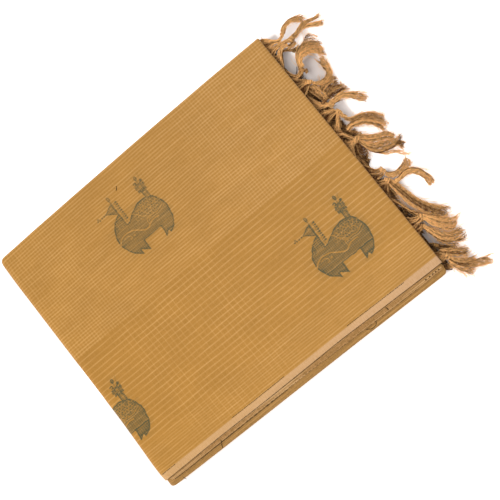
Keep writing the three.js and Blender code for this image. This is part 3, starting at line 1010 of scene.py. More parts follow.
@dataclass
class Plies:
    """The plies that show: the top leaf, the second woven edge and the first fold.

    Attributes:
        packet: The packet that they belong to.
        birds: The birds woven into the top leaf.
        step: The grid step where a ply shows.
        hidden_step: The grid step under the packet.
        lower_step: The grid step of the two lower plies.
        wall: How thick a cut edge looks.
        under_tuck: How far the top leaf's edge is tucked in.
        eased: The share of the top leaf's width that takes up the wander of its edge.
        edge_droop: How far the top leaf's edge hangs down.
        second_depth: How deep the second ply lies.
        second_short: How far short of the right end it stops.
        fold_depth: How deep the first fold lies.
        fold_thickness: How thick the fold is.
        fold_short: How far short of the right end it stops.
        fold_corner: The radius of its corner there.
        top_flat: The top leaf's size laid flat, in metres, as for the next two; not used.
        second_outline: Where the second ply's woven edge runs, as fold_outline for the fold.
    """

    packet: Packet
    birds: tuple[Bird, ...]
    step: float = 3.0
    hidden_step: float = 8.0
    lower_step: float = 4.0
    wall: float = 0.5
    under_tuck: float = 6.0
    eased: float = 0.2
    edge_droop: float = 0.45
    second_depth: float = 1.5
    fold_depth: float = 2.8
    fold_thickness: float = 2.2
    second_short: float = 3.9
    fold_short: float = 2.2
    fold_corner: float = 4.5
    top_flat: Pair = (0.286, 0.705)
    second_flat: Pair = (0.282, 0.695)
    fold_flat: Pair = (0.566, 0.698)
    second_outline: tuple[Pair, ...] = (
        (-174, -143.2), (-150, -143.9), (-100, -143.6), (-50, -143.5), (0, -143.5), (50, -144.6),
        (100, -145.7), (150, -146.2), (174, -146.0))
    fold_outline: tuple[Pair, ...] = (
        (-174, -149.1), (-150, -149.4), (-100, -149.8), (-50, -150.0), (0, -150.1), (60, -150.3),
        (120, -150.9), (174, -151.4))

    def _warps(self, right: float, turned: bool, step: float) -> Array:
        """Grid places along the warp, from the right end over the top, round the left end and under."""
        packet = self.packet
        start = packet.right - packet.right_fold if turned else right
        tail = packet.right_fold * math.pi / 2 + 1.6
        curl = start + np.linspace(tail, 0, 8)[:-1] if turned else np.array([])
        top = np.linspace(start, packet.wrap_centre, int((start - packet.wrap_centre) / step))
        wrap = packet.wrap_centre - np.linspace(0, packet.wrap_length, 15)[1:]
        flat = start - packet.wrap_centre
        under = packet.under_start() - np.linspace(0, flat, int(flat / self.hidden_step))[1:]
        lip = under[-1] - (np.linspace(0, tail, 8)[1:] if turned else np.array([]))
        return np.concatenate([curl, top, wrap, under, lip])

    def _top_place(self, warp: Array, grid: Array) -> tuple[Array, Array, Array]:
        """The top leaf's section: tucked edge, flat top, back fold and hook."""
        packet = self.packet
        fold_start = packet.width / 2 - packet.back_fold
        x = np.clip(warp, -packet.length / 2, packet.length / 2)
        edge = packet.edge(x)
        front = -packet.width / 2
        under_edge = np.clip(front - grid, 0, None)
        share = (grid - front) / (fold_start - front)
        drawn = 1 - (edge - front) / (self.eased * (fold_start - front))
        y = np.where(share < self.eased, edge + (grid - front) * drawn, grid)
        y = np.where(under_edge > 0, edge + np.maximum(under_edge - self.wall, 0), y)
        depth = self.edge_droop * (1 - smoothstep(0, 7, grid - front))
        depth = depth + np.minimum(under_edge, self.wall)
        angle = np.clip((grid - fold_start) / packet.back_fold, 0, math.pi)
        past = np.maximum(grid - fold_start - packet.back_fold * math.pi, 0)
        y = np.where(angle > 0, fold_start + packet.back_fold * np.sin(angle) - past, y)
        depth = depth + packet.back_fold * (1 - np.cos(angle))
        return y, depth, np.where(under_edge > 0, edge, np.where(share < self.eased, y, grid))

    def top_leaf(self, material: Material) -> Piece:
        """Makes the top leaf.

        Args:
            material: Its finish.

        Returns:
            The finished piece.
        """
        packet = self.packet
        front = -packet.width / 2
        fold_start = packet.width / 2 - packet.back_fold
        tuck = front - np.array([self.under_tuck, self.wall + 0.6, self.wall, self.wall / 2])
        border = front + np.array([0, 0.7, 1.6, 3.2, 5.0, 6.8])
        flat = np.linspace(front + 9, fold_start, int((fold_start - front - 9) / self.step))
        hook = fold_start + packet.back_fold * math.pi * np.linspace(0, 1, 9)[1:]
        wefts = np.concatenate([tuck, border, flat, hook])
        leaf = Leaf("top_leaf_cloth", "top_leaf", "cotton_cloth", packet,
                    self._warps(packet.right, True, self.step), wefts, self._top_place,
                    Shown.TURNED_DOWN, self.birds)
        piece = leaf.build(material)
        return piece

    def _second_place(self, warp: Array, grid: Array) -> tuple[Array, Array, Array]:
        """The second ply's section: its woven edge in front, tucked a little, then flat to the back."""
        x = np.clip(warp, -self.packet.length / 2, self.packet.length / 2)
        edge = through(self.second_outline, x) + 4.4 * (1 - smoothstep(-167.0, -165.0, x))
        under_edge = np.clip(-grid, 0, None)
        y = edge + np.maximum(grid, 0) * (self.packet.width / 2 - 3 - edge) / (self.packet.width - 3)
        y = np.where(under_edge > 0, edge + np.maximum(under_edge - self.wall, 0), y)
        wave = Ripples(0.12, 30, 8, 31).at(x, y)
        depth = self.second_depth + 0.5 * (1 - smoothstep(0, 5, grid)) + wave * (1 - smoothstep(2, 9, grid))
        return y, depth + np.minimum(under_edge, self.wall), np.maximum(grid, 0)

    def second_selvedge(self, material: Material) -> Piece:
        """Makes the second ply, with its woven edge out in front, as top_leaf does."""
        tuck = -np.array([4, self.wall + 0.5, self.wall])
        border = [0, 0.5, 1.2, 2.2, 3.6, 5.4, 8, 12]
        wefts = np.concatenate([tuck, border, np.linspace(18, self.packet.width - 3, 34)])
        leaf = Leaf("second_selvedge_cloth", "second_selvedge", "selvedge_cloth", self.packet,
                    self._warps(self.packet.right - self.second_short, False, self.lower_step), wefts,
                    self._second_place, Shown.CUT)
        piece = leaf.build(material)
        return piece

    def _fold_place(self, warp: Array, grid: Array) -> tuple[Array, Array, Array]:
        """The first fold's section: a ply out to the front, a round nose, and a ply back."""
        packet = self.packet
        under = packet.wrap_centre + packet.under_start() - warp
        x = np.where(warp < packet.under_start(), under, warp)
        x = np.clip(x, -packet.length / 2, packet.length / 2)
        into = np.clip(x - (packet.right - self.fold_short - self.fold_corner), 0, self.fold_corner)
        cut = self.fold_corner - np.sqrt(self.fold_corner ** 2 - into ** 2)
        nose = self.fold_thickness / 2
        turn = np.clip((packet.wrap_centre - warp) / packet.radius, 0, math.pi)
        front = through(self.fold_outline, x) + cut + nose + 2.8 * np.sin(turn) ** 4
        angle = np.clip(grid / nose, -math.pi / 2, math.pi / 2)
        flat = np.maximum(np.abs(grid) - nose * math.pi / 2, 0)
        y = front - nose * np.cos(angle) + flat * (packet.width / 2 - 4 - front) / (packet.width + 4)
        wave = Ripples(0.14, 26, 7, 47).at(x, grid * 0.2) * (1 - smoothstep(3, 12, flat))
        depth = (self.fold_depth + nose) * (1 - 0.28 * np.sin(turn)) + nose * np.sin(angle) + wave
        return y, depth, grid

    def first_fold(self, material: Material) -> Piece:
        """Makes the two plies joined by the first fold, as top_leaf does."""
        nose = self.fold_thickness / 2 * math.pi / 2
        half = np.concatenate([np.linspace(0, nose, 5), nose + np.array([1.2, 3, 5, 8, 12]),
                               nose + np.linspace(18, self.packet.width + 4, 34)])
        wefts = np.concatenate([-half[:0:-1], half])
        warps = self._warps(self.packet.right - self.fold_short, False, self.lower_step)
        rounded = self.fold_corner * (1 - np.cos(np.linspace(0, math.pi / 2, 6)[1:-1]))
        ends = np.concatenate([warps[:1], warps[0] - rounded, warps[2:-1], warps[-1] + rounded[::-1],
                               warps[-1:]])
        leaf = Leaf("first_fold_cloth", "first_fold", "cotton_cloth", self.packet, ends, wefts,
                    self._fold_place, Shown.CUT)
        piece = leaf.build(material)
        return piece


@dataclass
class HiddenLeaves:
    """All the leaves that don't show, as one heap whose edges are layered.

    Attributes:
        packet: The packet that they belong to.
        count: How many leaves show at the edges.
        bottom: The height of the heap's underside.
        top: The height of its upper side.
        right: Where its right end is.
        front: Where its front is.
        back: Where its back is.
        into_wrap: How far it reaches into the round left end.
        corner: The radius of its corners.
        free: How far out along and across the packet its edges wander fully.
        groove: How deep the grooves between leaves are.
        shoulder: How far a leaf's edge is rounded back near a groove.
        spread: How unevenly the leaves end.
        outline_step: The step of its outline.
        seed: Fixes its small unevenness.
        flat: The size of one leaf laid flat, in metres; not used.
    """

    packet: Packet
    count: int = 6
    bottom: float = 5.35
    top: float = 11.35
    right: float = 171.4
    front: float = -146.2
    back: float = 138.2
    into_wrap: float = 2.4
    corner: float = 4.0
    free: Pair = (165.0, 135.0)
    groove: float = 1.1
    shoulder: float = 0.42
    spread: float = 1.5
    outline_step: float = 4.0
    seed: int = 100
    flat: Pair = (0.288, 0.34)

    def _outline(self, number: int, cut: float, z: float) -> list[Triple]:
        """One level of a leaf's edge, wandering a little from true.

        Args:
            number: The leaf's number.
            cut: How far inside the leaf's outermost edge the level lies.
            z: Its height.

        Returns:
            The points round it.
        """
        chance = np.random.default_rng(self.seed + number)
        right = self.right - chance.uniform(0, self.spread)
        front = self.front - chance.uniform(-0.6, self.spread)
        back = self.back + chance.uniform(0, self.spread)
        left = self.packet.wrap_centre - self.into_wrap
        wave = Ripples(0.35, 90, 22, 2 * self.seed + number)
        arcs = []
        for quarter, (x, y) in enumerate(((right, back), (left, back), (left, front), (right, front))):
            cx, cy = x - math.copysign(self.corner, x), y - math.copysign(self.corner, y)
            turns = [math.pi / 2 * (quarter + step / 4) for step in range(5)]
            arcs.append([(cx + self.corner * math.cos(turn), cy + self.corner * math.sin(turn))
                         for turn in turns])
        points: list[Triple] = []
        for arc, following in zip(arcs, arcs[1:] + arcs[:1]):
            (ax, ay), (bx, by) = arc[-1], following[0]
            steps = max(int(math.dist((ax, ay), (bx, by)) / self.outline_step), 1)
            side = [(ax + (bx - ax) * step / steps, ay + (by - ay) * step / steps)
                    for step in range(1, steps)]
            for x, y in arc + side:
                out = float(wave.at(np.array(x), np.array(y))) - cut
                points.append((x + out * math.copysign(1, x) * min(abs(x) / self.free[0], 1) ** 8,
                               y + out * math.copysign(1, y) * min(abs(y) / self.free[1], 1) ** 8, z))
        return points

    def build(self, material: Material) -> Piece:
        """Makes the heap.

        Args:
            material: Its finish.

        Returns:
            The finished piece.
        """
        height = (self.top - self.bottom) / self.count
        levels = []
        for number in range(self.count):
            for share, cut in ((0.0, self.groove), (0.16, self.shoulder), (0.5, 0.0), (0.84, self.shoulder)):
                levels.append((number, cut, self.bottom + (number + share) * height))
        levels.append((self.count - 1, self.groove, self.top))
        rings = [self._outline(*level) for level in levels]
        count = min(len(ring) for ring in rings)
        rings = [[ring[int(place * len(ring) / count)] for place in range(count)] for ring in rings]
        points = np.vstack(rings)
        faces: list[Sequence[int]] = []
        for first in range(0, len(points) - count, count):
            for place in range(count):
                a, b = first + place, first + (place + 1) % count
                faces.append((a, b, b + count, a + count))
        faces.append(range(count - 1, -1, -1))
        faces.append(range(len(points) - count, len(points)))
        mesh = new_mesh("hidden_layers_cloth", points, faces)
        set_cloth_places(mesh, np.column_stack([points[:, 0] + points[:, 1], 8 * points[:, 2]]))
        piece = make_object("hidden_layers_cloth", mesh, material, "cotton_cloth")
        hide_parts("hidden_layers")
        return piece


@dataclass
class PalluEnd:
    """The end of the saree, a single ply whose cut edge holds the warp ends."""

    left: float = -140.0
    right: float = 172.3
    front: float = -138.5
    back: float = 136.5
    middle: float = 12.2
    wall: float = 0.5
    flat: Pair = (0.275, 0.3125)

    def build(self, material: Material) -> Piece:
        """Makes the end piece.

        Args:
            material: Its finish.

        Returns:
            The finished piece.
        """
        warps = np.concatenate([np.linspace(self.left, self.right - 8, 26),
                                self.right - np.array([6.0, 4, 2.4, 1.2, 0.4, 0])])
        wefts = np.linspace(self.front, self.back, 92)
        x, y = np.meshgrid(warps, wefts)
        wave = Ripples(0.2, 26, 7, 71).at(y, 0.2 * x) * smoothstep(self.right - 14, self.right, x)
        upper = np.stack([x, y, self.middle + self.wall / 2 + wave], -1).reshape(-1, 3)
        rim = np.stack([warps[-1] + 0 * wefts, wefts, self.middle - self.wall / 2 + wave[:, -1]], -1)
        points = np.vstack([upper, rim])
        columns, rows = len(warps), len(wefts)
        faces = grid_faces(columns, rows)
        for row in range(rows - 1):
            corner = row * columns + columns - 1
            below = columns * rows + row
            faces.append((corner, below, below + 1, corner + columns))
        mesh = new_mesh("pallu_end_cloth", points, faces)
        set_cloth_places(mesh, points[:, :2])
        piece = make_object("pallu_end_cloth", mesh, material, "pallu_cloth")
        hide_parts("pallu_end")
        return piece


# The fringe

Station = tuple[float, float, float, float, float]


@dataclass
class YarnHeap:
    """Many thin yarns collected into one mesh.

    Attributes:
        chance: The source of small differences.
        radius: The usual radius of a yarn.
        floor: The lowest that a yarn's middle may lie.
        sides: How many sides a yarn has.
    """

    chance: np.random.Generator
    radius: float = 0.27
    floor: float = 0.4
    sides: int = 3
    points: list[Array] = field(default_factory=list)
    faces: list[Array] = field(default_factory=list)
    tones: list[Array] = field(default_factory=list)
    count: int = 0

    def lay(self, line: Array, radius: Array, tone: Array | float) -> None:
        """Adds one yarn.

        Args:
            line: The points that it follows.
            radius: Its radius at each point.
            tone: Its tone, one for all or one for each point.
        """
        steps = len(line)
        tangent = np.gradient(line, axis=0)
        tangent /= np.maximum(np.linalg.norm(tangent, axis=1, keepdims=True), 1e-9)
        level = np.stack([-tangent[:, 1], tangent[:, 0], np.zeros(steps)], -1) + 1e-6
        level /= np.linalg.norm(level, axis=1, keepdims=True)
        upward = np.cross(tangent, level)
        angles = TURN * np.arange(self.sides) / self.sides + math.pi / 2
        ring = (line[:, None, :]
                + radius[:, None, None] * (np.cos(angles)[None, :, None] * level[:, None, :]
                                           + np.sin(angles)[None, :, None] * upward[:, None, :]))
        self.points.append(ring.reshape(-1, 3))
        self.tones.append(np.repeat(np.broadcast_to(np.asarray(tone, float), (steps,)), self.sides))
        a = (np.arange(steps - 1)[:, None] * self.sides + np.arange(self.sides)[None, :])
        b = (np.arange(steps - 1)[:, None] * self.sides + (np.arange(self.sides)[None, :] + 1) % self.sides)
        quads = np.stack([a, b, b + self.sides, a + self.sides], -1).reshape(-1, 4) + self.count
        self.faces.append(quads)
        self.count += steps * self.sides

    def piece(self, name: str, material: Material, slot: str) -> Piece:
        """Makes one piece of all the yarns, with the same arguments as make_object."""
        mesh = new_mesh(name, np.vstack(self.points), np.vstack(self.faces).tolist())
        set_shares(mesh, TONE_ATTRIBUTE, np.concatenate(self.tones))
        return make_object(name, mesh, material, slot)


@dataclass(frozen=True)
class Sweep:
    """A run of loose yarns that spread, gather or curl between two sides.

    Attributes:
        stations: Places along the run, each with x and y of one side, x and y of the other, and the height.
        locks: How many twisted locks lie side by side.
        tone: How light the locks are, from 0 to 1.
        depth: How deep the heap of yarns is in its middle.
        fray: How unevenly the yarns end, as a share of the run.
        layers: How many layers of locks lie on one another.
        yarns: How many yarns make a lock.
        crimp: How wavy each yarn is.
        hairs: How many fine hairs there are for each lock.
    """

    stations: tuple[Station, ...]
    locks: int
    tone: float = 0.62
    depth: float = 2.2
    fray: float = 0.13
    layers: int = 2
    yarns: int = 5
    crimp: float = 0.3
    hairs: int = 11

    def lay(self, heap: YarnHeap) -> None:
        """Adds the run's yarns to a heap."""
        track = curve_through(self.stations, 10)
        middle = (track[:, :2] + track[:, 2:4]) / 2
        walked = np.concatenate([[0], np.cumsum(np.linalg.norm(np.diff(middle, axis=0), axis=1))])
        total = walked[-1]
        steps = max(int(total / 1.5), 8)
        for layer in range(self.layers):
            count = self.locks - (layer % 2)
            for lock in range(max(count, 1)):
                across = (lock + 0.5) / max(count, 1)
                lift = self.depth * (0.5 - layer / max(self.layers, 1)) * math.sqrt(1 - (2 * across - 1) ** 2)
                run, seat = (track, walked, total, steps), (across, lift, layer)
                self._lock(heap, run, seat)
        self._hairs(heap, track)

    def _lock(self, heap: YarnHeap, run: tuple[Array, Array, float, int],
              seat: tuple[float, float, int]) -> None:
        """Adds one twisted lock of the run.

        Args:
            heap: The heap that takes the yarns.
            run: The run's track, the distance along it, its length and the steps of a yarn.
            seat: How far across and how high the lock lies, and in which layer.
        """
        track, walked, total, steps = run
        across, lift, layer = seat
        chance, radius = heap.chance, heap.radius
        # Each lower layer of locks is painted darker: painted shade under the layer above
        tone = self.tone + chance.choice((-0.4, -0.1, 0.12, 0.3)) + chance.normal(0, 0.07) - 0.42 * layer
        turn_length = chance.uniform(4.5, 8.0)
        bead_length = chance.uniform(2.2, 3.6)
        reach = 1 - self.fray * chance.random()
        twist = chance.uniform(0.09, 0.17) * (1 if chance.random() > 0.25 else -1)
        sway = chance.uniform(0.3, 0.9)
        sway_length = chance.uniform(8, 17)
        sway_phase = chance.uniform(0, 6.28)
        for yarn in range(self.yarns):
            end = min(max(reach * (1 - self.fray * 0.8 * chance.random()), 0.3), 1.0)
            at = np.linspace(0, end * total, steps)
            share = at / total
            place = np.stack([np.interp(at, walked, track[:, axis]) for axis in range(5)], -1)
            one, other = place[:, :2], place[:, 2:4]
            width = np.linalg.norm(other - one, axis=1)
            side = (other - one) / np.maximum(width, 1e-6)[:, None]
            lock_radius = np.clip(width / (2.6 * self.locks), radius * 0.8, 0.8)
            angle = TURN * (yarn / self.yarns + twist * at) + chance.uniform(-0.3, 0.3)
            loose = 1 + (0.5 + 4 * self.fray) * share ** 4
            off = lock_radius * loose * np.cos(angle)
            crimp_length, crimp_phase = chance.uniform(2.2, 4.2), chance.uniform(0, 6.28)
            off = off + self.crimp * np.sin(TURN * at / crimp_length + crimp_phase)
            swayed = np.sin(TURN * at / sway_length + sway_phase)
            off = off + np.minimum(sway, width / 6) * share * swayed
            off = off + chance.normal(0, 1.1) * share ** 4 * min(self.fray * 10, 1.6)
            flat = one + (other - one) * across + side * off[:, None]
            height = place[:, 4] + lift + lock_radius * loose * np.sin(angle) + chance.normal(0, 0.15)
            line = np.column_stack([flat, np.maximum(height, heap.floor)])
            thin = radius * (1 - 0.35 * share ** 3)
            # Painted highlight and shade along the lock's twist and its slower turns; the tips are also
            # lighter
            ply = 0.1 * np.sin(TURN * (at / bead_length + yarn / self.yarns))
            ply = ply + 0.16 * np.sin(TURN * at / turn_length + sway_phase) + 0.2 * share ** 6
            # Painted shade: a web is darker near the cloth's edge, under the top leaf's lip
            if self.fray == 0:
                ply = ply - 0.3 * (1 - smoothstep(0, 7, at))
            heap.lay(line, thin, np.clip(tone + chance.normal(0, 0.1) + ply, 0.04, 1))

    def _hairs(self, heap: YarnHeap, track: Array) -> None:
        """Adds fine hairs that stand off both sides of the run.

        Args:
            heap: The heap that takes the hairs.
            track: The run's track.
        """
        chance = heap.chance
        for _ in range(self.hairs * self.locks):
            start = chance.uniform(0, 0.8)
            share = np.linspace(start, min(start + chance.uniform(0.15, 0.4), 1), 8)
            place = np.stack([np.interp(share * (len(track) - 1), np.arange(len(track)), track[:, axis])
                              for axis in range(5)], -1)
            across = np.clip(chance.choice([0.0, 1.0]) + chance.normal(0, 0.1), -0.2, 1.2)
            across = across + np.linspace(0, chance.normal(0, 0.34), 8)
            flat = place[:, :2] + (place[:, 2:4] - place[:, :2]) * across[:, None]
            flat = flat + 0.3 * np.sin(share * 40 + chance.uniform(0, 6.28))[:, None]
            height = np.maximum(place[:, 4] + chance.normal(0, 0.8), heap.floor)
            heap.lay(np.column_stack([flat, height]), np.full(8, 0.14), np.clip(self.tone + 0.3, 0, 1))


@dataclass(frozen=True)
class Knot:
    """An overhand knot: a strap of yarns wound round the gathered ones.

    Attributes:
        centre: Its middle.
        heading: The way that the tassel runs through it, in degrees from +X.
        radius: The radius of the strap's turns.
        length: How far the strap runs along the tassel.
        tone: How light it is, from 0 to 1.
    """

    centre: Triple
    heading: float
    radius: float = 2.0
    length: float = 4.0
    tone: float = 0.75

    def lay(self, heap: YarnHeap) -> None:
        """Adds the knot's yarns to a heap."""
        chance = heap.chance
        ahead = np.array([math.cos(math.radians(self.heading)), math.sin(math.radians(self.heading)), 0.0])
        side = np.array([-ahead[1], ahead[0], 0.0])
        up = np.array([0.0, 0.0, 1.0])
        strands = 9
        for strand in range(strands):
            share = np.linspace(0, 1, 30)
            start = chance.uniform(-0.2, 0.2)
            angle = TURN * (1.35 * share + start)
            width = (strand - (strands - 1) / 2) * 0.42
            along = (share - 0.5) * self.length + width + 0.25 * np.sin(angle * 2)
            swell = self.radius * (0.8 + 0.25 * np.cos(width * 0.9) + 0.08 * chance.normal())
            line = (np.array(self.centre) + along[:, None] * ahead + (swell * np.cos(angle))[:, None] * side
                    + (swell * 0.8 * np.sin(angle))[:, None] * up)
            line[:, 2] = np.maximum(line[:, 2], heap.floor + 0.3)
            # Painted light and shade: the strap is lighter on its upper turns and darker on its lower ones
            tone = self.tone + chance.choice((-0.5, -0.1, 0.15)) + 0.25 * np.sin(angle)
            heap.lay(line, np.full(30, heap.radius * 1.25), np.clip(tone, 0, 1))


@dataclass(frozen=True)
class Tassel:
    """One tassel: its web of warp ends, its knot and its loose tails.

    Attributes:
        number: Its number, the same as its solid's.
        sweeps: Its webs and tails.
        knots: Its knots.
        first_seed: With the number, fixes its small unevenness.
    """

    number: int
    sweeps: tuple[Sweep, ...]
    knots: tuple[Knot, ...] = ()
    first_seed: int = 1000

    def build(self, material: Material) -> Piece:
        """Makes the tassel.

        Args:
            material: Its finish.

        Returns:
            The finished piece.
        """
        heap = YarnHeap(np.random.default_rng(self.first_seed + self.number))
        for part in (*self.sweeps, *self.knots):
            part.lay(heap)
        piece = heap.piece(f"tassel_{self.number:02d}_yarns", material, "warp_fringe")
        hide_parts(f"tassel_{self.number:02d}")
        return piece


def web(stations: tuple[Station, ...], locks: int = 6, tone: float = 0.6, depth: float = 1.6) -> Sweep:
    """A web of warp ends: straighter, even yarns that run from the cloth's edge to a knot."""
    return Sweep(stations, locks, tone + 0.06, depth, 0.0, 2, 4, 0.16, 1)
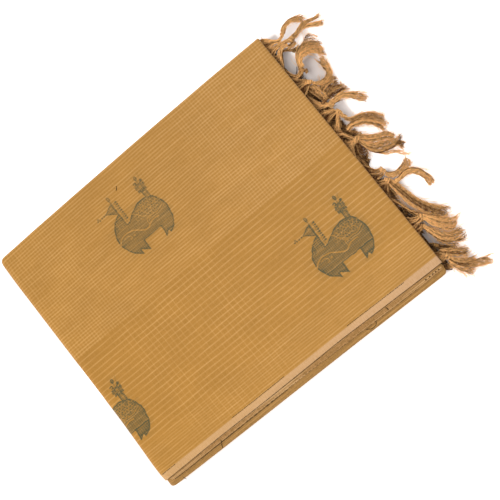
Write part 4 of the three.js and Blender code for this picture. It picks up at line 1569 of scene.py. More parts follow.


# A few knots and runs, such as the darkest of tassels 3 and 5, take very low tones: painted shade where they
# lie deep among the others
UPPER_TASSELS: tuple[Tassel, ...] = (
    Tassel(1, (
        web(((171.5, 139.5, 171.5, 125, 12.2), (177, 136, 177, 125, 11.8), (181, 131.5, 180.5, 126, 11),
            (185, 127.6, 185, 124.6, 10.5), (189, 128.2, 189.4, 125.6, 10), (193.4, 130.6, 194, 128, 10)),
            8, 0.66),
        Sweep(((193.4, 132.5, 196.4, 128.2, 10), (198, 135, 199, 131.2, 9.5), (205, 136.4, 205, 132.2, 9),
            (211, 134.8, 210, 129.8, 8), (217, 130.6, 214.4, 127, 6.5), (221.5, 127.4, 218.2, 124.2, 5)),
            4, 0.66),
        Sweep(((206, 136.2, 206.4, 134.4, 8), (212, 135.2, 212.6, 133, 7),
            (221.4, 131.6, 219.6, 128.4, 4)), 2, 0.8, 1.0, 0.3, 1, 3),
    ), (Knot((194.6, 130.6, 10), 40, 2.2, 4.6, 0.5),)),
    Tassel(2, (
        web(((171.5, 126, 171.5, 116, 12.2), (178, 124.6, 178, 119.6, 11.5), (184, 124, 184, 120.6, 10.5),
            (190, 122.6, 190, 119.4, 10), (194.4, 121.4, 194, 117.8, 9.5)), 6, 0.66),
        web(((171.5, 118, 171.5, 100, 12), (175.5, 116, 174.3, 104, 11), (178.4, 118.6, 178.6, 113.6, 10),
            (184, 120.2, 184.4, 116.6, 9.5), (190.4, 119.4, 189.6, 116, 9)), 6, 0.55),
        Sweep(((193, 122, 194, 117, 9.4), (198, 122.2, 199, 117.4, 9), (203, 122.8, 203, 118.6, 8),
            (209, 124.6, 209.5, 120.8, 7), (215, 125.9, 215, 121.6, 6), (221, 124.6, 220.5, 121.8, 4.5),
            (227, 122.6, 227, 120.9, 3), (234, 121.9, 233.5, 120.7, 2)), 4, 0.68),
        Sweep(((209, 123.5, 209.5, 120.6, 6.5), (216.5, 121.8, 216, 118.6, 5),
            (223, 118.6, 221.6, 115.2, 3.5), (229, 116, 227.3, 112.4, 2.5),
            (233.2, 113.6, 230.6, 110.6, 1.6)), 4, 0.6),
        Sweep(((189, 117.4, 187, 113.6, 8), (194, 117.6, 193, 112.6, 7), (199, 119.6, 199, 115.6, 6)), 3,
            0.5, 1.2, 0.1),
    ), (Knot((195.4, 119.2, 9.6), 20, 2.3, 4.0, 0.7),)),
    Tassel(3, (
        web(((171.5, 101, 171.5, 86, 12.2), (174.4, 93.6, 174.4, 85, 11.5), (177, 89.8, 177, 84.6, 11),
            (180.5, 89, 181, 85.4, 10), (185, 92, 187, 88.5, 9)), 6, 0.6),
        Sweep(((183.8, 91.5, 189.2, 90.5, 8.5), (186, 99, 190.6, 95.6, 9.5), (191, 105.2, 194.8, 97.8, 10),
            (198, 107.9, 200.3, 96.8, 9.5), (205.5, 107.7, 205.3, 93.8, 8), (212.2, 103.9, 209.2, 90, 5.5),
            (217.6, 99.2, 213, 85.6, 3.5)), 8, 0.64, 3.4, 0.07, 2, 6, 0.3),
        Sweep(((197, 109.6, 196, 107, 4), (204, 111.6, 203, 105, 3), (210.6, 114.6, 210, 104, 2.4),
            (217.8, 106.4, 215, 101, 1.2)), 5, 0.42, 1.0, 0.3, 1, 4, 0.4),
    ), (Knot((185.2, 90.2, 9), 70, 2.4, 4.0, 0.45), Knot((182.4, 87.4, 8), 10, 1.8, 3.0, 0.5),
        Knot((187.8, 86.2, 8.4), 80, 1.6, 2.6, 0.12))),
    Tassel(4, (
        web(((171.5, 88, 171.5, 66, 12.2), (176, 85, 176, 68.6, 11), (179.5, 81, 179.5, 71, 10),
            (183, 78, 183.4, 73, 9)), 8, 0.56),
        Sweep(((183.6, 76, 184.6, 71.4, 8.5), (188, 71.7, 189, 67.4, 8), (193, 69.6, 193.6, 65.4, 7),
            (198, 69.6, 199.8, 64.8, 6.5), (201.4, 71.8, 205.2, 68.3, 6), (202.3, 78, 207.7, 77, 5),
            (202.3, 85, 208.7, 85, 4), (201.2, 91.6, 207.6, 93, 2.6)), 5, 0.68, 2.4),
    ), (Knot((183, 75.4, 9.4), -40, 2.2, 3.6, 0.85),)),
    Tassel(5, (
        web(((176, 73, 186, 71, 8), (178, 66, 187.4, 66, 8), (179.4, 59, 188.4, 59, 8),
            (182, 52.4, 188.6, 51.4, 7.6)), 8, 0.56, 2.6),
        Sweep(((187, 65.6, 186.6, 50.8, 6.6), (191, 66.6, 190.4, 54, 6), (197, 67.6, 197, 54.6, 5),
            (203, 67.8, 204, 54.6, 3.6), (206.6, 66.6, 208, 55, 2)), 8, 0.55, 2.0, 0.16, 2, 5, 0.4),
        Sweep(((187, 56, 186.6, 50.4, 7), (192, 56.8, 192, 49, 6), (198, 56, 198.6, 48, 4.6),
            (204, 54.6, 204.6, 47.4, 3), (208.4, 52.6, 209.6, 47, 1.6)), 5, 0.28, 2.0, 0.2, 2, 5, 0.45),
    ), (Knot((184.6, 52.4, 8.6), 0, 2.0, 3.4, 0.25), Knot((181.8, 50.6, 12.2), 10, 1.3, 2.2, 0.06))),
    Tassel(6, (
        web(((171.5, 68, 171.5, 46, 12.2), (176, 59, 175.6, 46.5, 11.6), (179.5, 52, 179.2, 45.5, 11),
            (184, 47.8, 184, 43.2, 11)), 8, 0.62),
        web(((171.5, 47, 171.5, 38, 12.2), (177, 44, 177, 39.5, 11.5), (181, 42, 181, 38, 11),
            (185, 40, 185.6, 37, 10)), 5, 0.6),
        Sweep(((187.6, 47.8, 187.8, 42.8, 10.5), (195, 47.8, 195, 43, 10), (201, 46.6, 199.5, 41.4, 9.5),
            (207, 42.6, 204.2, 37.4, 8), (212.7, 37.2, 208.2, 31.8, 5.5), (217.2, 31.2, 211.8, 27.4, 3.6),
            (218.6, 27.2, 214.4, 25.4, 2.6)), 5, 0.72, 2.6, 0.09),
    ), (Knot((186.2, 44.6, 11.2), 20, 2.9, 4.6, 0.8),)),
    Tassel(7, (
        web(((171.5, 38, 171.5, 31, 12.2), (177, 38.4, 177, 33, 11), (181, 38.4, 181.5, 34, 10),
            (186, 37.4, 186.6, 33.4, 9.5)), 4, 0.58),
        web(((171.5, 26, 171.5, 13, 12), (177, 27, 177.5, 20, 10.5), (181, 31.4, 182.4, 27, 10),
            (184.4, 35, 185.4, 32, 9.6)), 5, 0.48),
        Sweep(((185.4, 37.4, 188.2, 36, 9.5), (185.6, 32, 188.6, 31.4, 9.2),
            (186.4, 26.2, 189.4, 27.4, 9)), 3, 0.74, 2.0, 0.0),
        Sweep(((187.9, 27.7, 186.3, 24.6, 9), (192.2, 22.9, 190.3, 19, 8.5), (198.2, 21, 197, 17, 8),
            (205.2, 18.6, 203, 13.4, 7), (211.8, 13.4, 208.3, 9, 5.5), (217, 6.7, 212.2, 3.8, 4),
            (219.5, 0.4, 214.4, -2.7, 2.6)), 4, 0.76, 2.2, 0.12),
    ), (Knot((186.6, 34.8, 9.8), -70, 1.9, 3.0, 0.75), Knot((188, 28, 9), -60, 1.7, 3.0, 0.75))),
    Tassel(8, (
        web(((171.5, 23, 171.5, 11, 12.2), (176, 18.6, 176, 10.6, 11.4), (179.2, 12.7, 178.4, 7.2, 10.8),
            (182.6, 6, 181.6, 2.2, 10.2)), 6, 0.55),
        web(((171.5, 11, 171.5, -3, 12.2), (176, 6.7, 175.5, -0.2, 11), (181, 4.4, 181, 0.8, 10.4)), 5,
            0.5),
        web(((171.5, -4, 171.5, -12, 12.2), (174.6, 0.2, 174.2, -6, 11.2), (178.5, 2.5, 178, -0.8, 10.6),
            (182.6, 2.8, 182.6, 0, 10.2)), 5, 0.6),
        web(((171.5, -5, 171.5, -12, 11), (174.6, -14, 173.6, -19, 8.4), (176.4, -22.4, 174.8, -26, 6)), 4,
            0.36),
        Sweep(((181.6, 17.7, 182.6, 12.8, 8), (187, 19, 188, 13.8, 8.5), (194, 18.2, 193.5, 11.6, 8),
            (201, 15.7, 199, 9.2, 6.5), (207.2, 10.7, 204, 3.6, 5), (212.8, 4.7, 207, -1.4, 3.6),
            (215.9, -1.5, 208.4, -6, 2.2), (216.8, -7, 209.6, -9.6, 1.6)), 6, 0.6, 2.2, 0.12, 2, 5, 0.3),
        Sweep(((178.8, 17, 181.4, 14.4, 7), (183.4, 13.8, 184.4, 9.8, 7), (187, 9.4, 186.3, 4.8, 7),
            (192, 4.6, 190.4, 1.8, 6.8)), 3, 0.2, 2.0, 0.04),
        Sweep(((185, 5.2, 183.6, 1, 9.5), (190, 2.7, 187.2, -3.8, 9), (196, -2.3, 193.4, -9, 8),
            (203, -6.3, 200.6, -12.6, 6.4), (209.7, -9.7, 207.4, -15.6, 4.8), (216, -17, 211.6, -20.4, 3)),
            6, 0.66, 2.2, 0.08, 2, 5, 0.26),
        Sweep(((184.6, 1, 183.2, -1.4, 9), (188, -5, 186.2, -10, 8), (194, -10.4, 190.8, -16.8, 6.4),
            (201.5, -13.6, 198, -21.2, 4.6), (208, -17, 205.5, -23.2, 3.2), (213.6, -21, 212, -24.2, 2.4)),
            6, 0.56, 1.6, 0.08, 2, 4, 0.26),
        Sweep(((184.6, -3, 183, -4, 8), (187.2, -11.6, 186, -14, 7), (192.4, -17.6, 191, -21, 6),
            (200, -20.8, 199, -24.4, 5), (208, -21.6, 208.5, -25.8, 3.6), (214.5, -20.2, 215, -23.6, 3),
            (221.2, -18.2, 221.2, -20.8, 2.4)), 3, 0.36, 2.0, 0.1),
        Sweep(((207, -23, 211.6, -21.6, 3), (210.4, -27.8, 215, -25.5, 2.4),
            (213, -33.7, 216.9, -31.3, 2)), 4, 0.4, 1.6, 0.25),
        Sweep(((188.6, -17.4, 190, -19.8, 5), (196, -23.8, 196, -26.2, 3.5), (204, -27.6, 203, -30.6, 2.6),
            (210, -33.6, 208.3, -36.2, 2), (217.7, -41, 214.8, -41.7, 1.6)), 2, 0.74, 1.0, 0.2, 1, 4),
        Sweep(((185.4, 1, 178, 2, 7.6), (186, -6, 174.6, -5, 6.8), (183.6, -13.6, 172.6, -12.4, 5.6),
            (178.6, -20, 171.6, -18, 4.6)), 8, 0.3, 1.6, 0.05, 2, 3),
    ), (Knot((183, 2, 10.2), -50, 2.7, 4.2, 0.7),)),
    Tassel(9, (
        web(((171.5, -18, 171.5, -42, 12.2), (175.5, -25, 175, -41.5, 11.4),
            (178.5, -30.4, 178.5, -41.5, 10.8), (183, -34, 183, -40.5, 10.3)), 8, 0.5),
        Sweep(((184.9, -39.3, 182.3, -42.2, 9.5), (189.2, -43.2, 186.8, -47.8, 9),
            (194, -44.8, 194, -49.8, 8), (200, -44.2, 201, -50.2, 6.5), (205.5, -42, 208.2, -47.7, 4.6),
            (209, -38.7, 210.8, -45.2, 3)), 5, 0.58, 2.6, 0.07),
    ), (Knot((183.4, -36.6, 10.2), -75, 2.2, 5.0, 0.68),)),
    Tassel(10, (
        web(((171.5, -41, 171.5, -49, 12), (176, -43.5, 176, -49.2, 11), (180, -46, 180, -51.2, 10),
            (184.6, -50.4, 185, -54.6, 9.4)), 5, 0.5),
        Sweep(((186, -51, 186, -55.6, 9.5), (193, -50.6, 193, -54.8, 9), (199, -49.7, 198.5, -54.8, 8.5),
            (205.7, -51.2, 202.8, -56.2, 8), (210.8, -56.3, 206.2, -60.2, 7),
            (214.1, -64, 208.5, -66, 5.5), (215.2, -71.5, 209.3, -72.5, 4),
            (214, -78.2, 209.2, -78.8, 2.8)), 5, 0.66, 3.0, 0.05, 2, 6, 0.14),
    ), (Knot((185.8, -52.8, 9.6), 0, 2.1, 3.6, 0.62),)),
    Tassel(11, (
        web(((171.5, -46, 171.5, -62, 12), (175.5, -46.6, 175.5, -57, 11),
            (179.6, -45.6, 179.6, -51, 10.2)), 6, 0.3),
        web(((171.5, -59, 171.5, -67, 12), (176.6, -69.8, 174.2, -71.6, 10.6),
            (179.2, -79, 176.8, -80.2, 9.5), (183.2, -87.4, 180.8, -89.2, 8.8),
            (186.4, -91.3, 183.3, -93.2, 8.6)), 3, 0.42),
        Sweep(((184.2, -46.4, 179, -47.4, 9.4), (187.2, -57, 179.8, -57, 9), (189.3, -66, 181, -67, 8.6),
            (191.8, -76, 183.2, -79, 8), (196.4, -86, 187.2, -91.2, 7), (201.4, -94.3, 191.2, -99.8, 5.4),
            (207.8, -100.6, 197.2, -107, 4), (212.2, -106.4, 201.6, -114, 2.6)), 7, 0.62, 3.2, 0.08, 2, 6,
            0.3),
    ), (Knot((181, -46.8, 9.8), -60, 2.3, 3.6, 0.82),)),
    Tassel(12, (
        web(((171.5, -84, 171.5, -101, 12.2), (176, -89, 176, -99.2, 11.4), (180, -91, 179.5, -98.7, 10.8),
            (184, -91.6, 184, -96.8, 10.4)), 7, 0.58),
        Sweep(((187.6, -94, 182.8, -95.6, 9.6), (190, -97.2, 184.4, -99.6, 9.4),
            (194, -102, 186.4, -106, 9), (198.4, -107.5, 189.7, -113, 8), (204.2, -111.8, 194, -119, 6.4),
            (209, -114.4, 200, -122.4, 4.6), (214, -115.8, 206, -121.8, 3.4)), 6, 0.68, 2.8, 0.1, 2, 6,
            0.28),
    ), (Knot((184.2, -94, 10.2), -40, 2.5, 4.0, 0.78),)),
    Tassel(13, (
        web(((171.5, -99, 171.5, -106, 12), (175.5, -100.3, 175.5, -105, 11),
            (178.6, -99.5, 178.6, -103.7, 10)), 4, 0.45),
        Sweep(((181.3, -101, 178, -102.4, 8.6), (185.2, -111, 180.2, -113, 8),
            (189.8, -118.3, 183.6, -123.2, 7), (196, -123.2, 189.6, -130.4, 5.4),
            (203.5, -124.8, 198.4, -134.4, 3.8), (210.4, -127.2, 206, -137.9, 2.4)), 6, 0.6, 2.8, 0.1, 2,
            6, 0.32),
        Sweep(((180.4, -106, 184.4, -106, 4), (181, -114, 187, -115, 3.4), (182, -122, 190, -123, 3),
            (185.4, -130, 193.4, -129, 2.4), (190, -136, 198, -134, 1.8), (197, -139, 203, -136, 1.4)), 4,
            0.6, 1.0, 0.2, 1, 4, 0.4),
    ), (Knot((178.8, -101.6, 9), -60, 1.7, 2.8, 0.25),)),
    Tassel(14, (
        web(((171.5, -128, 171.5, -141, 12.2), (175, -131, 174.8, -141, 11.4),
            (178, -134, 178, -141, 10.6)), 6, 0.5),
        web(((170.6, -142.6, 170.6, -147, 6), (174.6, -144, 174, -149.5, 6),
            (178.4, -149.4, 176.4, -151.9, 5.6)), 3, 0.55, 1.0),
        Sweep(((178.2, -129.3, 175.6, -131.5, 9), (184, -133.7, 180.2, -138.2, 8),
            (190.7, -138.2, 186.2, -143.8, 6.5), (196.2, -142, 191.2, -147.8, 4.6),
            (200.2, -147, 196, -150.9, 3.2)), 5, 0.62, 2.2, 0.1),
        Sweep(((181.3, -141.2, 176.7, -143.5, 8.6), (185.2, -146.2, 178.2, -151.6, 8),
            (190.7, -150.2, 181.2, -158.7, 7), (196.7, -153.7, 185.2, -164.8, 5),
            (203.4, -158.2, 189.2, -169.6, 3)), 8, 0.64, 2.6, 0.14, 2, 5, 0.3),
        Sweep(((186.4, -150, 183.6, -154.4, 7), (195, -156.4, 191.8, -162.4, 5),
            (203.6, -160.4, 200.8, -167, 3.4), (214.2, -165.6, 210, -170.9, 2)), 4, 0.68, 1.8, 0.15),
    ), (Knot((178.7, -138.4, 9.4), -85, 2.3, 4.6, 0.8),)),
)

# The lower tassels take low tones: painted shade, as they lie under the top leaf's edge
LOWER_TASSELS: tuple[Tassel, ...] = (
    Tassel(15, (
        web(((170.4, 108, 170.4, 98, 6.3), (174.4, 110.6, 173.4, 103, 6), (179.2, 117.4, 180.8, 114.6, 6),
            (185, 116.6, 185.4, 113.6, 5.6), (190.2, 113.8, 189, 110.6, 5)), 4, 0.4, 1.2),
        Sweep(((190, 112, 189.4, 108.8, 4.6), (194, 110.8, 193.6, 107.4, 4), (199, 111, 198, 106.6, 3)), 3,
            0.35, 1.4, 0.2),
    ), (Knot((191.6, 110.2, 4.8), -20, 1.8, 2.6, 0.08),)),
    Tassel(16, (
        web(((170.4, 50, 170.4, 38, 6.3), (174.6, 48.6, 174.6, 42, 5.4), (179, 48, 179, 44, 4.6)), 4, 0.2,
            1.4),
        Sweep(((179, 47.8, 179, 44.4, 4), (184, 48, 184, 44, 3.2), (190, 47.6, 190, 44.4, 2.4),
            (197, 46.6, 197, 43.6, 1.6)), 4, 0.3, 1.4, 0.12),
    ), (Knot((178, 46, 4.8), 0, 1.7, 2.6, 0.1),)),
    Tassel(17, (
        web(((170.4, 18, 170.4, 6, 6.3), (174.6, 16, 174.6, 9.4, 5.4), (179, 14, 179, 10, 4.6)), 4, 0.2,
            1.4),
        Sweep(((179, 14, 179, 10, 4), (182.6, 13.4, 182.4, 8.4, 3.2), (186, 12, 185.4, 6.6, 2.4),
            (189, 10, 187.6, 5.6, 1.6)), 4, 0.3, 1.4, 0.12),
    ), (Knot((178.6, 12, 4.8), -10, 1.7, 2.6, 0.1),)),
    Tassel(18, (
        web(((170.4, -8, 170.4, -20, 6.3), (174.6, -10, 174, -17.4, 5.4), (179, -13.4, 177.4, -17.6, 4.6)),
            4, 0.2, 1.4),
        Sweep(((179.4, -14, 175.8, -16.4, 4), (180, -18.4, 176, -20.4, 3.2),
            (179.6, -22.4, 175.6, -25, 2.2)), 4, 0.24, 1.4, 0.1),
    ), (Knot((178, -15.4, 4.8), -60, 1.7, 2.6, 0.1),)),
    Tassel(19, (
        web(((170.4, -72, 170.4, -84, 6.3), (174.6, -75, 174, -82.4, 5.4),
            (178.6, -78.6, 176.8, -82.4, 4.6)), 4, 0.25, 1.2),
        Sweep(((179, -80, 175.8, -81.4, 4), (182, -86.6, 178, -88.4, 3.2), (184, -93, 179.4, -95, 2.4),
            (188, -101, 183, -102.4, 1.6)), 4, 0.3, 1.2, 0.25),
    ), (Knot((177.6, -80.4, 4.8), -65, 1.6, 2.6, 0.15),)),
    Tassel(20, (
        web(((170.4, -115, 170.4, -127, 6.3), (174.6, -119, 174, -126, 5.4),
            (178.4, -122.6, 176.8, -126, 4.6)), 4, 0.5, 1.2),
        Sweep(((179, -123.4, 175.8, -125.4, 4), (183, -128.4, 178.8, -131, 3.2),
            (188.4, -133.4, 184, -137, 2.2), (195, -138, 191, -142, 1.6)), 4, 0.5, 1.2, 0.25),
    ), (Knot((177.6, -124.4, 4.8), -50, 1.6, 2.6, 0.4),)),
)


@dataclass(frozen=True)
class ShortEnds:
    """Short warp ends low along the cloth's edge, which fill the hollows behind the knots, dark as painted
    shade.

    Attributes:
        stretches: Where they are: the start, the end, how far they come out and how high they start.
        thickness: How many there are for each millimetre of edge.
        cloth_end: Where the cloth's edge is.
        radius: The radius of an end.
        tone: How light they are, from 0 to 1, and how much that differs; low, as painted shade.
        seed: Fixes them.
    """

    stretches: tuple[tuple[float, float, float, float], ...] = (
        (118, 137, 5, 7), (90, 118, 3.5, 5), (60, 83, 12, 10), (83, 90, 5, 10), (47, 60, 8, 10),
        (20, 47, 13, 10), (-6, 20, 11.5, 10), (-25, -8, 6, 10), (-45, -25, 6, 9), (-63, -45, 9, 10),
        (-80, -63, 3.5, 6), (-104, -80, 6, 8), (-128, -104, 3.5, 6), (-148, -128, 5.5, 9),
    )
    thickness: float = 13.0
    cloth_end: float = 170.2
    radius: float = 0.36
    tone: Pair = (0.36, 0.24)
    seed: int = 77

    def build(self, material: Material) -> Piece:
        """Makes the ends.

        Args:
            material: Their finish.

        Returns:
            The finished piece.
        """
        chance = np.random.default_rng(self.seed)
        heap = YarnHeap(chance)
        for low, high, reach, top in self.stretches:
            for _ in range(int((high - low) * self.thickness)):
                y = chance.uniform(low, high)
                length = reach * chance.uniform(0.72, 1.1)
                start = chance.uniform(1.0, top)
                share = np.linspace(0, 1, 9)
                turn = chance.normal(0, 0.9)
                bow = chance.uniform(0.6, 2.2)
                x = self.cloth_end + share * length
                across = y + turn * length * 0.5 * share + bow * np.sin(share * chance.uniform(2, 6) + y)
                height = start * (1 - share ** 1.5) + 0.6 + 0.8 * np.sin(share * 5 + y)
                line = np.column_stack([x, across, np.maximum(height, 0.5)])
                heap.lay(line, np.full(9, self.radius), np.clip(chance.normal(*self.tone), 0, 1))
        return heap.piece("warp_ends_short", material, "warp_fringe")


@dataclass(frozen=True)
class Fringe:
    """All the tassels, and the short ends between them."""

    short_ends: ShortEnds = ShortEnds()

    def build(self, upper: Material, lower: Material) -> list[Piece]:
        """Makes the fringe.

        Args:
            upper: The finish of the yarn that comes from the end piece.
            lower: The finish of the yarn that comes from lower down, darker as painted shade.

        Returns:
            The pieces.
        """
        pieces = [tassel.build(upper) for tassel in UPPER_TASSELS]
        pieces += [tassel.build(lower) for tassel in LOWER_TASSELS]
        pieces.append(self.short_ends.build(lower))
        return pieces


@dataclass
class LooseThreads:
    """Dark thread: the broken lines along the woven edges, dark runs just under the edges that are partly the
    edges' own thread and partly painted shadow, a few stitches, and the ends that hang loose.

    Attributes:
        packet: The packet that they lie on.
        radius: The radius of the thread in the top leaf's line.
        line_gap: How far inside the top leaf's edge its line runs.
        line_height: How high it lies.
        stretches: Where the line shows.
        second_stretch: Where the second woven edge has its own line.
        second_height: How high that line lies.
        stitches: Where the stitches at the right end are.
        ends: The points that each loose end passes through.
        end_radius: The radius of a loose end.
        seed: Fixes their small unevenness.
    """

    packet: Packet
    radius: float = 0.24
    line_gap: float = 6.9
    line_height: float = 18.06
    stretches: tuple[Pair, ...] = ((-172.0, -155.0), (-80.5, -15.0), (64.0, 132.0))
    second_stretch: Pair = (-96.0, 166.0)
    second_height: float = 16.12
    stitches: tuple[float, ...] = (149.0, 153.6, 157.4, 160.8, 164.2)
    ends: tuple[tuple[Triple, ...], ...] = (
        ((-29.3, 119.2, 18.25), (-30.4, 117.6, 18.25), (-32.2, 115.8, 18.25)),
        ((-103.6, -142.0, 16.3), (-105.4, -144.6, 15.9), (-107.4, -149.0, 15.2)),
        ((-157.2, -147.6, 15.4), (-156.8, -149.8, 14.8), (-156.0, -151.4, 14.0)),
        ((103.8, -140.8, 17.2), (104.4, -142.6, 16.6), (104.2, -144.6, 16.4)),
        ((76.0, -145.6, 15.7), (81.0, -148.4, 15.4), (86.5, -147.6, 15.4), (88.0, -145.4, 15.7)),
        ((170.0, -141.0, 14.0), (173.4, -143.6, 12.6), (172.6, -147.4, 11.0)),
    )
    end_radius: float = 0.26
    seed: int = 9

    def _second_edge(self, x: Array) -> Array:
        """Where the second woven edge runs."""
        return through(Plies.second_outline, x)

    def _runs(self, chance: np.random.Generator, stretch: Pair, length: Pair, gap: Pair) -> Iterator[Pair]:
        """Cuts a stretch into runs of thread with gaps between them.

        Args:
            chance: The source of small differences.
            stretch: Where the stretch starts and ends.
            length: The shortest and the longest run.
            gap: The smallest and the widest gap.

        Yields:
            The start and the end of each run, of which the last may pass the stretch.
        """
        place = stretch[0]
        while place < stretch[1]:
            run = chance.uniform(*length)
            yield place, place + run
            place += run + chance.uniform(*gap)

    def build(self, material: Material) -> Piece:
        """Makes the threads.

        Args:
            material: Their finish.

        Returns:
            The finished piece.
        """
        chance = np.random.default_rng(self.seed)
        heap = YarnHeap(chance, sides=5)
        for stretch in self.stretches:
            for start, end in self._runs(chance, stretch, (0.6, 2.6), (0.25, 0.7)):
                xs = np.linspace(start, min(end, stretch[1]), 6)
                ys = self.packet.edge(xs) + self.line_gap + Ripples(0.08, 40, 14, 3).at(xs, xs)
                zs = self.line_height + self.packet.settle.at(xs, ys)
                heap.lay(np.stack([xs, ys, zs], -1), np.full(6, self.radius), chance.uniform(0, 0.6))
        for start, end in self._runs(chance, self.second_stretch, (0.8, 4.0), (0.6, 4.0)):
            xs = np.linspace(start, end, 5)
            line = np.stack([xs, self._second_edge(xs) + 0.35, np.full(5, self.second_height)], -1)
            heap.lay(line, np.full(5, self.radius / 2), chance.uniform(0.2, 0.8))
        # Dark runs just under the top leaf's and the second ply's edges: partly the woven edges' dark thread,
        # partly painted shadow of the edges
        for stretch, outline, rise, height in (((-171.0, 171.0), self.packet.edge, -0.25, 17.2),
                                               ((-165.0, -20.0), self._second_edge, -0.45, 15.9)):
            for start, end in self._runs(chance, stretch, (3, 12), (0, 1.5)):
                xs = np.linspace(start, min(end, stretch[1]), 7)
                ys = outline(xs)
                zs = height + self.packet.settle.at(xs, ys)
                radius = chance.uniform(self.radius / 2, self.radius)
                heap.lay(np.stack([xs, ys + rise, zs], -1), np.full(7, radius), chance.uniform(0, 1))
        for place in self.stitches:
            xs = place + np.array([0, 0.9, 1.8])
            line = np.stack([xs, self._second_edge(xs) + 2.4, np.full(3, self.second_height + 0.33)], -1)
            heap.lay(line, np.array([0.3, 0.5, 0.3]), 0.1)
        for end in self.ends:
            line = curve_through(end, 6)
            heap.lay(line, np.full(len(line), self.end_radius), 0.1)
        return heap.piece("dark_threads", material, "selvedge_cloth")


# Studio

@dataclass(frozen=True)
class MattPaper:
    """Matt white paper that glows evenly, with painted shadow: greyer and dimmer where its glow is turned
    down.
    """

    name: str = "matt_white_paper"
    shaded: str = "d2c8c3"
    lit: str = "f8f1ee"
    glow: str = "ffffff"
    roughness: float = 0.95
    specular: float = 0.1

    def build(self, full_light: float) -> Material:
        """Makes the material.

        Args:
            full_light: The glow where no painted shadow dims it.

        Returns:
            The finished material, which reads the glow at each place and paints shadow where it is low.
        """
        material, add = new_material(self.name)
        light = add("Attribute", out="Fac", attribute_name=GLOW_ATTRIBUTE)
        share = add("MapRange", (light, 0.0, full_light, 0.0, 1.0))
        white = add("Mix", (share,), {6: linear_colour(self.shaded), 7: linear_colour(self.lit)}, 2,
                    data_type="RGBA")
        paper = add("BsdfPrincipled", (), {
            "Base Color": white, "Roughness": self.roughness, "Specular IOR Level": self.specular,
            "Emission Color": linear_colour(self.glow), "Emission Strength": light})
        add("OutputMaterial", (paper,))
        return material


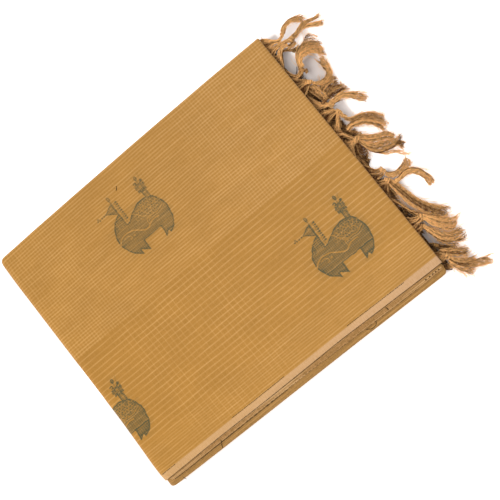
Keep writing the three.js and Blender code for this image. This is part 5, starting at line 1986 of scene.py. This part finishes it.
@dataclass
class Studio:
    """A white floor, soft light from the back left, and the camera at the photograph's angle."""

    eye: Triple = (190.6, -143.9, 1052.7)
    picture_right: Triple = (0.7633, -0.6174, -0.1904)
    picture_up: Triple = (0.6293, 0.7772, 0.0024)
    forward: Triple = (-0.1465, 0.1216, -0.9817)
    field_of_view: float = 26.0
    floor_size: float = 40000.0
    floor_gap: float = 0.2
    world_strength: float = 0.74
    key_strength: float = 1.9
    key_angle: float = 48.0
    key_from: Triple = (-0.6, 0.22, 1.0)
    paper_glow: float = 0.55

    # Where the floor's grid is fine, under the fringe: its start, its end and its number of points
    fine_floor_x: tuple[float, float, int] = (168, 240, 37)
    fine_floor_y: tuple[float, float, int] = (-176, 144, 109)

    # Patches of painted shadow on the floor, where its glow is turned down and its colour greyer: the sides
    # of each patch, and the glow there
    shades: tuple[tuple[float, float, float, float, float], ...] = (
        (168, 190, -150, -37, 0.06), (168, 188, 4, 138, 0.06), (186, 206, 62, 100, 0.02),
        (188, 213, 118, 136, 0.25), (184, 198, 14, 44, 0.14), (184, 204, -130, -90, 0.1),
        (184, 200, -160, -140, 0.2), (172, 184, -134, -98, 0.0),
    )
    shade_edge: float = 3.0

    def camera(self) -> None:
        """Makes the camera."""
        data = bpy.data.cameras.new("camera")
        data.sensor_width = 36.0
        data.lens = data.sensor_width / 2 / math.tan(math.radians(self.field_of_view / 2))
        data.clip_start, data.clip_end = 0.01, 20.0
        camera = bpy.data.objects.new("camera", data)
        bpy.context.collection.objects.link(camera)
        right, up, back = Vector(self.picture_right), Vector(self.picture_up), -Vector(self.forward)
        turned = Matrix((right, up, back)).transposed().to_4x4()
        camera.matrix_world = Matrix.Translation(Vector(self.eye) * MM) @ turned
        bpy.context.scene.camera = camera

    def floor(self) -> None:
        """Makes the white floor, which glows evenly but less in patches under the fringe, where it is painted
        greyer as shadow and its real shadows show.
        """
        half = self.floor_size / 2
        xs = np.concatenate([[-half], np.linspace(*self.fine_floor_x), [half]])
        ys = np.concatenate([[-half], np.linspace(*self.fine_floor_y), [half]])
        x, y = (grid.ravel() for grid in np.meshgrid(xs, ys))
        glow = np.full(x.shape, self.paper_glow)
        for left, right, low, high, share in self.shades:
            within = np.ones(x.shape)
            for place, start, end in ((x, left, right), (y, low, high)):
                within *= smoothstep(start - self.shade_edge, start + self.shade_edge, place)
                within *= 1 - smoothstep(end - self.shade_edge, end + self.shade_edge, place)
            glow = np.minimum(glow, self.paper_glow * (1 - within) + share * within)
        mesh = new_mesh("floor", np.column_stack([x, y, np.zeros(x.shape)]), grid_faces(len(xs), len(ys)))
        set_shares(mesh, GLOW_ATTRIBUTE, glow)
        floor = bpy.data.objects.new("floor", mesh)
        floor.location.z = -self.floor_gap * MM
        bpy.context.collection.objects.link(floor)
        mesh.materials.append(MattPaper().build(self.paper_glow))

    def lights(self) -> None:
        """Makes the even white sky and the soft key light."""
        world = bpy.data.worlds.new("soft_sky")
        world.use_nodes = True
        world.node_tree.nodes.clear()
        sky = add_node(world.node_tree, "Background", ((1, 1, 1, 1), self.world_strength))
        add_node(world.node_tree, "OutputWorld", (sky,))
        bpy.context.scene.world = world
        data = bpy.data.lights.new("key", "SUN")
        data.energy = self.key_strength
        data.angle = math.radians(self.key_angle)
        key = bpy.data.objects.new("key", data)
        key.location = Vector(self.key_from)
        key.rotation_mode = "QUATERNION"
        key.rotation_quaternion = (-Vector(self.key_from)).to_track_quat("-Z", "Y")
        bpy.context.collection.objects.link(key)

    def build(self) -> None:
        """Makes the whole studio."""
        self.camera()
        self.floor()
        self.lights()
        bpy.context.scene.view_settings.view_transform = "Standard"


def report(piece: Piece) -> None:
    """Logs a piece and its number of faces."""
    LOG.info("%s: %d faces", piece.name, len(piece.data.polygons))


def main() -> None:
    """Builds the saree on its frame, in order, and reports each piece."""
    logging.basicConfig(level=logging.INFO, format="%(message)s")
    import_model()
    Studio().build()

    packet = Packet()
    birds = (Bird(-31.7, 72.0, 0.81, -4.4, 21), Bird(107.6, -69.0, 1.05, -12.6, 22, 1.06, 2.2, 0.09),
             Bird(-177.4, -69.2, 1.05, -12.6, 23, 1.07, 0.8, 0.09))
    ochre = HandloomCotton().build()
    selvedge = PlainCotton("cotton_second_woven_edge", "b08352", "d4ab78", "84602f").build()
    fold = PlainCotton("cotton_first_fold", "a67c45", "bf9055", "8a6535").build()
    lower = PlainCotton("cotton_lower_leaves", "b98c50", "cfa469", "96713a").build()
    pallu = PlainCotton("cotton_end_piece", "a87a45", "bd8f56", "80582c").build()
    yarn = CottonYarn("cotton_warp_yarn_tan", "fec882", "60340e").build()
    # Darker yarn: painted shade for the yarn that lies low in the fringe
    painted_shade_yarn = CottonYarn("cotton_warp_yarn_painted_shade", "cc995c", "3c2410").build()
    dark_thread = CottonYarn("cotton_thread_dark", "4c3c24", "2a2117").build()

    plies = Plies(packet, birds)
    report(HiddenLeaves(packet).build(lower))
    report(plies.first_fold(fold))
    report(plies.second_selvedge(selvedge))
    report(plies.top_leaf(ochre))
    end_piece = PalluEnd()
    pallu_piece = end_piece.build(pallu)
    fringe = Fringe().build(yarn, painted_shade_yarn)
    for piece in [pallu_piece, *fringe]:
        report(piece)
    report(LooseThreads(packet).build(dark_thread))


if __name__ == "__main__":
    main()
